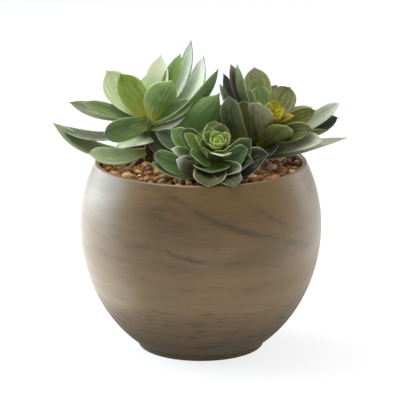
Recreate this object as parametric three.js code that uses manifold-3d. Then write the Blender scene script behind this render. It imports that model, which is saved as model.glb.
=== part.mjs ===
// A potted echeveria: three fleshy rosettes in a round matte ceramic pot, its soil topped with river pebbles.
// Millimetres, +Z up. A viewer in front looks along +Y, with +X to the right.
// The origin is the centre of the foot's flat underside.
import * as THREE from "three";
import { mergeVertices } from "three/addons/utils/BufferGeometryUtils.js";
import Module from "manifold-3d";

const wasm = await Module();
wasm.setup();

// Driving dimensions
const GAP = 0.3; // clearance between pieces that rest in each other
const POT = {
  radius: 90, // at the belly: a 7 inch planter
  bellyHeight: 92.5,
  height: 141.5,
  upperCurve: 98.5, // half height of the ellipse above the belly
  lowerCurve: 105.2, // and below it
  wall: 3.8,
  footRadius: 47,
  footHeight: 6,
  footChamfer: 0.5,
  floor: 9,
  sides: 36,
};
const MIX_TOP = 127;
const GRAVEL = {
  edgeHeight: 132.5, // surface of the bed at the wall
  rise: 3.2, // how much higher it is in the middle
  pebbles: 72,
  smallest: 5, // half length of a pebble
  largest: 7,
  clearance: 1.12, // a pebble this much larger must still miss every leaf
};
const STEM = { radius: 4.2, depth: 108, bendHeight: 139, sides: 8 };
const GOLDEN_ANGLE = 137.508;

// Leaves. Each row: tip x, y, z; heading and elevation of the direction that its upper side faces (null: it faces
// the growing tip of its plant); width; degrees it bends through; and what differs from its plant's usual leaf.
// Headings are degrees from +X towards +Y. Of the extras, drop is how far below the crown a leaf springs from the
// stem, spread how far from the stem its blade begins, and sweep how far its midline bows sideways.
const LEFT = {
  name: "echeveria_left",
  crown: [-38.5, 8, 172],
  lean: 0,
  leanTo: 0,
  usual: { neck: 0.42, belly: 0.6, full: 2.4, point: 0.6, cup: 0.25, thick: 2.6, spread: 3, drop: 0, sweep: 0 },
  leaves: [
    // the long pair at the far left, and the pale pair above it
    [-110, 10, 167, 270, 78, 16, 75, { drop: 5 }],
    [-110, 0, 171, 270, 60, 17, 88, { drop: 26 }],
    [-99, 14, 183, 290, 45, 14, 45],
    [-88, 4, 185, 270, 45, 12, 35],
    [-66, 25, 180, 270, 60, 15, 20],
    // broad upright leaves, from left to right
    [-70.5, 20, 206, 300, 15, 24, 20, { belly: 0.65, sweep: 3 }],
    [-60, 4, 206.5, 280, 10, 21, 15, { full: 3, belly: 0.5, sweep: -1 }],
    [-21.5, -2, 202.5, 95, 0, 23, 12, { full: 3, belly: 0.45, drop: 2, sweep: -2 }],
    [-29.5, 18, 218.5, 265, 20, 17, 15, { cup: 0.5, point: 0.9 }],
    [-41, 24, 202, 270, 20, 14, 10],
    // tall leaves that curve up on the right
    [-14.5, 15, 220, 265, 20, 11, 10],
    [-7.5, 12, 230, 225, 25, 16, 62, { cup: 0.3, point: 0.5, belly: 0.5, sweep: -2 }],
    [2, 4, 219.5, 225, 30, 23, 70, { cup: 0.05, drop: 3, belly: 0.5, sweep: -3, point: 0.4 }],
    [13, 0, 212, 130, 30, 17, 80, { drop: 5 }],
    [14, -6, 194.5, 110, 10, 27, 45, { drop: 13, spread: 12, sweep: 5.5, full: 2, point: 1 }],
    [-5, -10, 188, 270, 40, 14, 15, { drop: 3 }],
    [-11, -10, 177, 270, 50, 14, 20, { drop: 8 }],
    // low leaves towards the viewer
    [-72, -12, 163, 268, 12, 17, 5, { neck: 0.65, belly: 0.55, full: 3, point: 0.1, drop: 4 }],
    [-83, -20, 151.5, 268, 30, 14, 10, { drop: 26, sweep: 3, full: 3, point: 0.3 }],
    [-64, -4, 149.5, 245, 40, 22, 12, { drop: 13, neck: 1, belly: 0.25, full: 1.4, point: 1, spread: 1, sweep: -3 }],
    // the far side, and one that hides the stem
    [-54, 55, 186, null, null, 19, 20],
    [-34, 55, 201, null, null, 19, 20],
    [-20, 50, 188, null, null, 19, 20],
    [-1, 42, 191, null, null, 18, 20],
    [8, 30, 192, null, null, 18, 20],
    [-67, 48, 171, null, null, 18, 20, { drop: 6 }],
    [-22, 2, 143.5, 280, 20, 18, 10, { drop: 10, spread: 1, neck: 0.7 }],
    [-8, 50, 165, null, null, 18, 20, { drop: 8 }],
  ],
};
const FRONT = {
  name: "echeveria_front",
  crown: [9, -38, 150],
  lean: 35,
  leanTo: 270,
  usual: { neck: 0.45, belly: 0.62, full: 2.4, point: 0.5, cup: 0.3, thick: 2.2, spread: 2, drop: 0, sweep: 0 },
  leaves: [
    // right side, from the widest leaf inwards
    [49.5, -52, 159.5, 270, 45, 24, 30, { drop: 3, sweep: -5, point: 0.8 }],
    [36.5, -45, 169, 285, 30, 18, 35, { sweep: -5, point: 1 }],
    [38, -58, 155, 275, 50, 20, 28, { sweep: -4 }],
    [34, -52, 163, 275, 40, 18, 35, { sweep: -4 }],
    [15.5, -62, 159.4, 287, 50, 17, -72, { full: 3, point: 0, cup: 0.1, thick: 1.6 }],
    // towards the viewer and over the rim
    [29, -68.5, 150.5, 270, 50, 20, 30, { sweep: -4, belly: 0.5 }],
    [7, -70, 149.5, 270, 55, 26, 25, { full: 3, point: 0 }],
    [-8, -58, 161, 270, 50, 16, 30, { sweep: 2 }],
    [24.5, -80, 141, 270, 60, 18, -22, { drop: 5, full: 3.5, point: 0 }],
    [5, -80.5, 141, 270, 60, 24, -22, { drop: 4, full: 3.5, point: 0 }],
    // left side, from the lowest leaf up
    [-37, -56, 153, 270, 50, 14, 20, { drop: 11, sweep: 4 }],
    [-34.5, -52, 158.5, 270, 40, 17, 20, { drop: 9, sweep: 4, full: 3, point: 0 }],
    [-18, -61, 157, 270, 15, 15, 25, { drop: 12, sweep: 1 }],
    [-22, -58, 164, 270, 40, 10, 20],
    [-34, -30, 171, 300, 40, 19, 20, { point: 0.8 }],
    [-22, -36, 173, 280, 30, 16, 20, { point: 0.1, belly: 0.65 }],
    [-14.5, -38, 173.5, 290, 30, 16, 20, { point: 0 }],
    [-12, -46, 173, 300, 30, 11, 20],
    [-4, -48, 172, 340, 30, 9, 20],
    // behind the bud, and the far side
    [10, -26, 178, 270, 20, 16, 20, { point: 0 }],
    [5, -30, 175, 290, 20, 12, 20],
    [-15, -10, 158, null, null, 15, 20, { drop: 3 }],
    [28, -14, 152, null, null, 15, 20, { drop: 3 }],
    [2, -16, 169, null, null, 15, 20, { drop: 3 }],
  ],
};
const RIGHT = {
  name: "echeveria_right",
  crown: [48, 12, 165],
  lean: 15,
  leanTo: 340,
  usual: { neck: 0.42, belly: 0.62, full: 2.4, point: 0.4, cup: 0.3, thick: 2.4, spread: 4, drop: 0, sweep: 0 },
  leaves: [
    // upright leaves round the heart
    [40, 40, 204.5, 275, 20, 21, 15],
    [43.5, 30, 192, 275, 20, 16, 15, { point: 0.1 }],
    [67, 30, 191, 275, 25, 20, 15, { belly: 0.65, point: 0.1 }],
    [57, 44, 190, 270, 20, 14, 15],
    // right side, from the top down
    [84, 26, 176, 250, 50, 14, 20],
    [85.5, 8, 178, 270, 15, 13, -10, { drop: 3 }],
    [104, 12, 183, 250, 30, 12, 40, { drop: 15, full: 3, point: 0.1 }],
    [103.3, 16, 171, 260, 20, 13, 30, { drop: 18, full: 3, point: 0.1 }],
    [95, -6, 166, 270, 50, 8, 10, { drop: 14 }],
    [83, -12, 167, 270, 45, 18, 10, { drop: 8, belly: 0.55 }],
    [90, -16, 160, 270, 50, 18, -20, { drop: 22, point: 0.1 }],
    [108.5, -14, 162, 270, 30, 11, -15, { drop: 24, point: 0.5, full: 1.4, belly: 0.4, cup: 0.15 }],
    // dark leaves towards the viewer
    [64, -20, 172, 100, 10, 20, 10, { drop: 16, neck: 0.8 }],
    [38.5, -22, 191, 80, -5, 18, 15, { drop: 13, sweep: 4, full: 3 }],
    [20.5, -18, 194.5, 80, -5, 17, 30, { drop: 13, sweep: -1.5, spread: 22, neck: 0.95, belly: 0.45, full: 3 }],
    // the upright group at its left
    [17, 14, 205, 325, 20, 15, 75, { drop: 4 }],
    [22, 10, 213, 310, 10, 12, 55, { drop: 2 }],
    [27, 8, 213, 22, 5, 18, 55, { drop: 2 }],
    [14, 0, 200, 320, 50, 12, 60, { drop: 6 }],
    [32, 14, 194, 320, 20, 12, 15],
    // the far side, and the dark ones behind the rest
    [45, 60, 188, null, null, 20, 20],
    [68, 58, 175, null, null, 20, 20],
    [85, 45, 162, null, null, 18, 20, { drop: 6 }],
    [11, 6, 182, 80, 0, 26, 20, { drop: 18, neck: 0.9 }],
    [50, 65, 160, null, null, 18, 20, { drop: 8 }],
    [50, -24, 150, 270, 30, 22, 5, { drop: 18, spread: 0, neck: 0.8 }],
    // between the two dark leaves
    [31, -14, 190.5, 80, -5, 18, 20, { drop: 13, spread: 12, neck: 0.95 }],
  ],
};

// Hearts: the young leaves in the middle of each rosette, lighter than the rest.
const HEARTS = [
  {
    name: "heart_front",
    plant: FRONT,
    base: [12, -45, 163],
    axis: [0, -0.62, 0.78],
    leaves: 13,
    length: 14,
    width: 14,
    ring: 3.5,
    bounds: 13,
    colour: 0x8fae5c,
    usual: { neck: 0.6, belly: 0.55, full: 2.2, point: 0.05, cup: 0.45, thick: 1.5 },
  },
  {
    name: "heart_right",
    plant: RIGHT,
    base: [49.5, 3, 170.5],
    axis: [0.25, -0.3, 0.92],
    leaves: 14,
    length: 18,
    width: 11,
    ring: 3,
    bounds: 14,
    colour: 0xb9bd2e,
    usual: { neck: 0.6, belly: 0.55, full: 2, point: 0.3, cup: 0.45, thick: 1.5 },
  },
];

// Vectors and random numbers
const radians = THREE.MathUtils.degToRad;
const vector = (xyz) => new THREE.Vector3(...xyz);

function direction(heading, elevation) {
  const h = radians(heading);
  const e = radians(elevation);
  return new THREE.Vector3(Math.cos(h) * Math.cos(e), Math.sin(h) * Math.cos(e), Math.sin(e));
}

// The part of v that is square to the unit vector axis, as a unit vector.
function squareTo(v, axis) {
  return v.clone().addScaledVector(axis, -v.dot(axis)).normalize();
}

// A seeded generator of numbers from 0 to 1.
function seededRandom(seed) {
  let state = seed;
  return () => {
    state = (state * 16807) % 2147483647;
    return state / 2147483647;
  };
}

// Solids and geometries
function solidFrom(geometry) {
  const bare = new THREE.BufferGeometry();
  bare.setAttribute("position", geometry.getAttribute("position"));
  if (geometry.index) bare.setIndex(geometry.index);
  const merged = mergeVertices(bare, 1e-4);
  const corners = merged.index.array;
  const kept = [];
  for (let i = 0; i < corners.length; i += 3) {
    const [a, b, c] = [corners[i], corners[i + 1], corners[i + 2]];
    if (a !== b && b !== c && c !== a) kept.push(a, b, c);
  }
  const vertProperties = new Float32Array(merged.getAttribute("position").array);
  return new wasm.Manifold(new wasm.Mesh({ numProp: 3, vertProperties, triVerts: new Uint32Array(kept) }));
}

function geometryFrom(solid) {
  const mesh = solid.getMesh();
  const geometry = new THREE.BufferGeometry();
  geometry.setAttribute("position", new THREE.BufferAttribute(new Float32Array(mesh.vertProperties), 3));
  geometry.setIndex(new THREE.BufferAttribute(mesh.triVerts, 1));
  geometry.computeVertexNormals();
  return geometry;
}

function joined(solids) {
  return solids.reduce((whole, piece) => whole.add(piece));
}

// A solid turned round the Z axis from a profile of [radius, height] pairs that starts and ends on the axis.
function turned(profile, sides) {
  const points = profile.map(([r, z]) => new THREE.Vector2(r, z));
  return new THREE.LatheGeometry(points, sides).rotateX(Math.PI / 2);
}

// A round bar from one point to another.
function bar(from, to, radius, sides) {
  const along = to.clone().sub(from);
  const turn = new THREE.Quaternion().setFromUnitVectors(new THREE.Vector3(0, 1, 0), along.clone().normalize());
  const middle = from.clone().lerp(to, 0.5);
  const geometry = new THREE.CylinderGeometry(radius, radius, along.length(), sides);
  return geometry.applyQuaternion(turn).translate(middle.x, middle.y, middle.z);
}

// The pot
function potRadius(z) {
  const curve = z > POT.bellyHeight ? POT.upperCurve : POT.lowerCurve;
  return POT.radius * Math.sqrt(1 - ((z - POT.bellyHeight) / curve) ** 2);
}

// The wall's [radius, height] pairs, from low to high, closer together near the foot, where it curves in.
function wallPoints(low, high, count, inset) {
  const heights = Array.from({ length: count + 1 }, (_, i) => low + (high - low) * (i / count) ** 1.15);
  return heights.map((z) => [potRadius(z) - inset, z]);
}

const LIP = { radius: POT.wall / 2, centre: POT.height - POT.wall / 2 };
const INSIDE = wallPoints(POT.floor, LIP.centre, 6, POT.wall);

function potGeometry() {
  const lipRadius = potRadius(LIP.centre) - LIP.radius;
  const foot = [
    [0, 0],
    [POT.footRadius - POT.footChamfer, 0],
    [POT.footRadius, POT.footChamfer],
    [POT.footRadius, POT.footHeight],
  ];
  const outside = wallPoints(POT.footHeight, LIP.centre, 11, 0);
  const overLip = [45, 90, 135].map((a) => [
    lipRadius + LIP.radius * Math.cos(radians(a)),
    LIP.centre + LIP.radius * Math.sin(radians(a)),
  ]);
  return turned([...foot, ...outside, ...overLip, ...INSIDE.toReversed(), [0, POT.floor]], POT.sides);
}

// What fills the pot: the mix up to its flat top, and the gravel on it
// The radius that clears the faceted inside of the wall.
function fillRadius(z) {
  const above = INSIDE.findIndex(([, height]) => height >= z);
  const [low, high] = [INSIDE[Math.max(0, above - 1)], INSIDE[above]];
  const share = high[1] > low[1] ? (z - low[1]) / (high[1] - low[1]) : 0;
  return THREE.MathUtils.lerp(low[0], high[0], share) - GAP;
}

function mixGeometry() {
  const floor = POT.floor + GAP;
  const bends = INSIDE.map(([, z]) => z).filter((z) => z > floor && z < MIX_TOP);
  const wall = [floor, ...bends, MIX_TOP].map((z) => [fillRadius(z), z]);
  return turned([[0, floor], ...wall, [0, MIX_TOP]], POT.sides);
}

function gravelHeight(r) {
  const share = Math.min(1, r / fillRadius(GRAVEL.edgeHeight));
  return GRAVEL.edgeHeight + GRAVEL.rise * (1 - share ** 3);
}

function bedGeometry() {
  const bottom = MIX_TOP + GAP;
  const rim = fillRadius(GRAVEL.edgeHeight);
  const surface = [1, 0.75, 0].map((share) => [share * rim, gravelHeight(share * rim)]);
  return turned([[0, bottom], [fillRadius(bottom), bottom], ...surface], POT.sides);
}

// Pebbles laid out as a sunflower's seeds are, each of its own size and turned its own way, half sunk in the bed.
function pebbles() {
  const random = seededRandom(41);
  const reach = fillRadius(GRAVEL.edgeHeight) - GRAVEL.largest;
  return Array.from({ length: GRAVEL.pebbles }, (_, i) => {
    const r = reach * Math.sqrt((i + 0.5) / GRAVEL.pebbles) + (random() - 0.5);
    const heading = radians(i * GOLDEN_ANGLE + 8 * random());
    const size = THREE.MathUtils.lerp(GRAVEL.smallest, GRAVEL.largest, random());
    const scale = new THREE.Vector3(size, size * (0.7 + 0.25 * random()), size * (0.5 + 0.15 * random()));
    const turn = new THREE.Euler(0.5 * (random() - 0.5), 0.5 * (random() - 0.5), 2 * Math.PI * random());
    return {
      place: new THREE.Vector3(r * Math.cos(heading), r * Math.sin(heading), gravelHeight(r) + 0.5),
      turn: new THREE.Quaternion().setFromEuler(turn),
      scale,
    };
  });
}

function pebbleSolid({ place, turn, scale }, growth = 1) {
  const matrix = new THREE.Matrix4().compose(place, turn, scale.clone().multiplyScalar(growth));
  return solidFrom(new THREE.IcosahedronGeometry(1, 0).applyMatrix4(matrix));
}

function gravelSolid(plants) {
  const clear = pebbles().filter((pebble) => {
    const grown = pebbleSolid(pebble, GRAVEL.clearance);
    return plants.every((plant) => grown.intersect(plant).isEmpty());
  });
  return joined([solidFrom(bedGeometry()), ...clear.map((pebble) => pebbleSolid(pebble))]);
}

// Leaves
// Half width along a leaf, as a share of its widest: the neck's at the root, 1 at the belly and 0 at the tip. The
// shoulders are squarer for a larger full, and the end is sharper for a larger point.
function outline(s, { neck, belly, full, point }) {
  if (s < belly) return neck + (1 - neck) * Math.sin((s / belly) * (Math.PI / 2)) ** 1.3;
  const t = (s - belly) / (1 - belly);
  return (1 - t ** full) ** (0.5 + 0.5 * point);
}

// The midline from foot to tip, an arc that bends towards the upper side: its place and its two cross directions.
function midline(foot, tip, face, bend, sweep) {
  const chord = tip.clone().sub(foot);
  const ahead = chord.clone().normalize();
  const upper = squareTo(face, ahead);
  const side = upper.clone().cross(ahead);
  const turn = radians(bend);
  const length = (chord.length() * (turn / 2)) / Math.sin(turn / 2);
  return (s) => {
    const angle = turn * (s - 0.5);
    const place = foot
      .clone()
      .addScaledVector(ahead, (length * (Math.sin(angle) + Math.sin(turn / 2))) / turn)
      .addScaledVector(upper, (length * (Math.cos(turn / 2) - Math.cos(angle))) / turn)
      .addScaledVector(side, 4 * sweep * s * (1 - s));
    const normal = upper.clone().multiplyScalar(Math.cos(angle)).addScaledVector(ahead, -Math.sin(angle));
    return { place, normal, side };
  };
}

// A sphere drawn out along the midline: its lower pole is the root, inside the stem, and its upper pole the tip.
function leafGeometry({ root, foot, tip, face, width, bend, shape, around, along }) {
  const at = midline(foot, tip, face, bend, shape.sweep ?? 0);
  const geometry = new THREE.SphereGeometry(1, around, along);
  const position = geometry.getAttribute("position");
  for (let i = 0; i < position.count; i++) {
    const s = (1 + position.getY(i)) / 2;
    const ring = Math.hypot(position.getX(i), position.getZ(i));
    if (ring < 1e-6) {
      const end = s < 0.5 ? root : tip;
      position.setXYZ(i, end.x, end.y, end.z);
      continue;
    }
    const across = position.getX(i) / ring;
    const over = position.getZ(i) / ring;
    const half = (width / 2) * outline(s, shape);
    const thick = Math.min(half, (shape.thick / 2) * Math.sqrt(1 - s ** 4) * (1 - 0.3 * s) + 0.15);
    const { place, normal, side } = at(s);
    place.addScaledVector(side, -across * half); // the sphere's faces then still look outwards
    place.addScaledVector(normal, shape.cup * half * across ** 2 + over * thick);
    position.setXYZ(i, place.x, place.y, place.z);
  }
  return geometry;
}

// The rosettes
const growingAxis = (plant) => direction(plant.leanTo, 90 - plant.lean);

function stemLeaf(plant, [x, y, z, heading, elevation, width, bend, extras]) {
  const shape = { ...plant.usual, ...extras };
  const axis = growingAxis(plant);
  const tip = new THREE.Vector3(x, y, z);
  const level = vector(plant.crown).addScaledVector(axis, -shape.drop);
  const outward = squareTo(tip.clone().sub(level), axis);
  const foot = level.clone().addScaledVector(outward, shape.spread);
  const root = level.addScaledVector(outward, Math.min(shape.spread, STEM.radius) - 1.5);
  const face = heading === null ? axis : direction(heading, elevation);
  const along = bend > 60 ? 7 : 5;
  return leafGeometry({ root, foot, tip, face, width, bend, shape, around: 6, along });
}

// The stem leans from the crown down to just above the gravel, and goes straight down from there.
function stemPieces(plant, growth = 0) {
  const axis = growingAxis(plant);
  const crown = vector(plant.crown);
  const knee = crown.clone().addScaledVector(axis, -(crown.z - STEM.bendHeight) / axis.z);
  const end = new THREE.Vector3(knee.x, knee.y, STEM.depth - growth);
  const radius = STEM.radius + growth;
  return [
    bar(end, knee, radius, STEM.sides),
    new THREE.SphereGeometry(radius, STEM.sides, 6).translate(knee.x, knee.y, knee.z),
    bar(knee, crown, radius, STEM.sides),
    new THREE.SphereGeometry(radius, STEM.sides, 6).translate(crown.x, crown.y, crown.z),
  ];
}

// A cup under the heart joins the leaves round it to the crown.
function heartSeat(heart) {
  const axis = vector(heart.axis).normalize();
  const top = vector(heart.base).addScaledVector(axis, 3);
  return bar(vector(heart.plant.crown), top, STEM.radius + 1.5, STEM.sides);
}

// An egg round the heart's leaves: the rosette keeps out of it, and the heart keeps inside it.
function heartBounds(heart, growth = 0) {
  const axis = vector(heart.axis).normalize();
  const turn = new THREE.Quaternion().setFromUnitVectors(new THREE.Vector3(0, 1, 0), axis);
  const height = 0.72 * heart.length + growth;
  const centre = vector(heart.base).addScaledVector(axis, 0.62 * heart.length);
  const radius = heart.bounds + growth;
  const egg = new THREE.SphereGeometry(1, 10, 6).scale(radius, height, radius).applyQuaternion(turn);
  return solidFrom(egg.translate(centre.x, centre.y, centre.z));
}

// Heart leaves by the golden angle, from the small upright ones in the middle to the wider ones round them.
function heartLeaves(heart) {
  const axis = vector(heart.axis).normalize();
  const base = vector(heart.base);
  const first = squareTo(new THREE.Vector3(1, 0, 0), axis);
  return Array.from({ length: heart.leaves }, (_, i) => {
    const share = (i + 0.5) / heart.leaves;
    const outward = first.clone().applyAxisAngle(axis, radians(i * GOLDEN_ANGLE));
    const rise = radians(85 - 45 * share);
    const size = 0.45 + 0.55 * share;
    const reach = heart.length * size;
    const foot = base.clone().addScaledVector(outward, 1 + heart.ring * share);
    return leafGeometry({
      root: base,
      foot,
      tip: foot.clone().addScaledVector(outward, reach * Math.cos(rise)).addScaledVector(axis, reach * Math.sin(rise)),
      face: axis.clone().multiplyScalar(0.6).addScaledVector(outward, -0.8),
      width: heart.width * size,
      bend: 50,
      shape: heart.usual,
      around: 6,
      along: 4,
    });
  });
}

function heartSolid(heart) {
  const core = bar(
    vector(heart.base).addScaledVector(vector(heart.axis).normalize(), -1),
    vector(heart.base).addScaledVector(vector(heart.axis).normalize(), 4),
    2.5,
    STEM.sides,
  );
  const whole = joined([solidFrom(core), ...heartLeaves(heart).map(solidFrom)]);
  return whole.intersect(heartBounds(heart));
}

function rosetteSolid(plant) {
  const hearts = HEARTS.filter((heart) => heart.plant === plant);
  const pieces = [...stemPieces(plant), ...hearts.map(heartSeat), ...plant.leaves.map((row) => stemLeaf(plant, row))];
  const whole = joined(pieces.map(solidFrom));
  return hearts.reduce((rest, heart) => rest.subtract(heartBounds(heart, GAP)), whole);
}

// A piece that has lost a scrap to a cut keeps its largest body.
function largestBody(solid) {
  return solid.decompose().reduce((best, body) => (body.volume() > best.volume() ? body : best));
}

// The scene graph
const CERAMIC = new THREE.MeshStandardMaterial({ color: 0x93836d, roughness: 0.75, metalness: 0 });
const SOIL = new THREE.MeshStandardMaterial({ color: 0x3a2a20, roughness: 1, metalness: 0 });
const STONES = new THREE.MeshStandardMaterial({ color: 0xb0713f, roughness: 0.4, metalness: 0 });
const LEAVES = {
  echeveria_left: new THREE.MeshStandardMaterial({ color: 0x6d8a52, roughness: 0.5, metalness: 0 }),
  echeveria_front: new THREE.MeshStandardMaterial({ color: 0x5d7a45, roughness: 0.45, metalness: 0 }),
  echeveria_right: new THREE.MeshStandardMaterial({ color: 0x56664a, roughness: 0.5, metalness: 0 }),
};

function named(name, geometry, material) {
  const mesh = new THREE.Mesh(geometry, material);
  mesh.name = name;
  return mesh;
}

const PLANTS = [LEFT, FRONT, RIGHT];
const rosettes = PLANTS.map((plant) => largestBody(rosetteSolid(plant)));
const stemHoles = joined(PLANTS.flatMap((plant) => stemPieces(plant, GAP)).map(solidFrom));

const pottedEcheveria = new THREE.Group();
pottedEcheveria.add(
  named("pot", geometryFrom(solidFrom(potGeometry())), CERAMIC),
  named("potting_mix", geometryFrom(solidFrom(mixGeometry()).subtract(stemHoles)), SOIL),
  named("gravel", geometryFrom(largestBody(gravelSolid(rosettes).subtract(stemHoles))), STONES),
  ...PLANTS.map((plant, i) => named(plant.name, geometryFrom(rosettes[i]), LEAVES[plant.name])),
  ...HEARTS.map((heart) => {
    const material = new THREE.MeshStandardMaterial({ color: heart.colour, roughness: 0.45, metalness: 0 });
    return named(heart.name, geometryFrom(largestBody(heartSolid(heart))), material);
  }),
);

export default pottedEcheveria;
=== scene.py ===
"""Potted echeveria: three fleshy rosettes in a round matt ceramic planter topped with pebbles.

Laid out as a Blender add-on and run as a script. Sizes are metres in the scene and millimetres in the tables
of leaves. +Z is up, +X is to the right and +Y away from a viewer in front.
"""

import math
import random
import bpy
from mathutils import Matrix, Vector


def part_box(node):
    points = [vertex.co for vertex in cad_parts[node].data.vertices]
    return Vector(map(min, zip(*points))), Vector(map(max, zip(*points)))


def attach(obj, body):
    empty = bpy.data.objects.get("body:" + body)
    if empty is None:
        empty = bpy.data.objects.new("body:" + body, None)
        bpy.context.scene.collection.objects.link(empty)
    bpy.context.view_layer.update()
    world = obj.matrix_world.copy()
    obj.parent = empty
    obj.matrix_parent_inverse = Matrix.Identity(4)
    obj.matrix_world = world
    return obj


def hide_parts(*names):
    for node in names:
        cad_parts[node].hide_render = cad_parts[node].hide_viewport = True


bl_info = {
    "name": "Potted Echeveria",
    "version": (1, 0, 0),
    "blender": (4, 5, 0),
    "location": "View3D > Sidebar > Echeveria",
    "description": "Dresses a planter with three echeveria rosettes, potting mix and pebbles",
    "category": "Add Mesh",
}

import bpy
import numpy as np
from mathutils import Euler, Matrix, Vector

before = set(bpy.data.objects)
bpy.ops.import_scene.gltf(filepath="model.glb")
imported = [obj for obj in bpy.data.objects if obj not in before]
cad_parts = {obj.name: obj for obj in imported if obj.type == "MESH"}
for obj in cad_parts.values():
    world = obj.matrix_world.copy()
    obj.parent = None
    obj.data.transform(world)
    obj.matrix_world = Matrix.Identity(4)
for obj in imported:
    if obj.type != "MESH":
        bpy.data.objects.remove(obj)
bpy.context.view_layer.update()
POT_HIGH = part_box("pot")[1]
GRAVEL_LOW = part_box("gravel")[0]

MM = 0.001
GOLDEN_ANGLE = 137.508

# The pot's outside is two half ellipses that meet at its belly.
BELLY_HEIGHT = 92.5 * MM
UPPER_CURVE = 98.5 * MM
LOWER_CURVE = 105.2 * MM

# The foot's lower edge is chamfered, and its side ends a little below the bowl that overhangs it.
FOOT_CHAMFER = 0.5 * MM
FOOT_UNDERCUT = 0.4 * MM

# How finely the pot's section is drawn and spun, and how much closer together its rings stand towards the foot.
OUTSIDE_RINGS = 66
LIP_STEPS = 8
INSIDE_RINGS = 12
RING_SPACING = 1.12
POT_STEPS = 240

# Painted shade darkens the glaze from one height down to another; the underside has a painted shade of its own.
# Heights in millimetres.
FOOT_SHADE = {"from": 62, "to": 6, "underside": 5.8, "underside_shade": 0.85}

# Dark mineral streaks on the front of the glaze: points (x, z) in millimetres, half width and strength. The last
# two, far wider rows are no streaks: they are bands of painted shade on the front, left of its middle.
STREAKS_AND_PAINTED_SHADE = [
    ([(-27, 137), (-10, 128), (8, 118), (30, 109), (52, 102), (66, 95), (79, 88)], 2.2, 0.75),
    ([(32, 128), (45, 121), (58, 111), (74, 103)], 1.4, 0.55),
    ([(-54, 95.5), (-43, 97), (-34, 97), (-25, 95.5), (-18, 92.5), (0, 88), (17, 87), (38, 86)], 1.5, 0.9),
    ([(-82, 101), (-74, 99), (-63, 96)], 0.9, 0.4),
    ([(0, 102), (8, 100), (16, 95)], 0.8, 0.4),
    ([(37, 86), (47, 83), (60, 77)], 0.9, 0.4),
    ([(-11, 52), (-2, 50), (8, 46)], 0.9, 0.6),
    ([(-44, 88), (-30, 86), (-18, 84), (-4, 80)], 1.2, 0.5),
    ([(-66, 74), (-50, 70), (-38, 72)], 0.8, 0.4),
    ([(20, 68), (34, 65), (50, 68)], 0.8, 0.35),
    # Painted shade, not streaks: wide darker bands down the front, left of its middle.
    ([(-32, 138), (-28, 118), (-16, 104)], 16, 0.5),
    ([(-4, 134), (6, 116)], 12, 0.2),
]

# More of their kind round the rest of the pot: how many, how far round from the front's middle they start and how
# far they go on, and the heights between which they lie, in millimetres.
MORE_STREAKS = {"seed": 7, "count": 14, "start": 150, "span": 265, "lowest": 35, "highest": 128}

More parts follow.
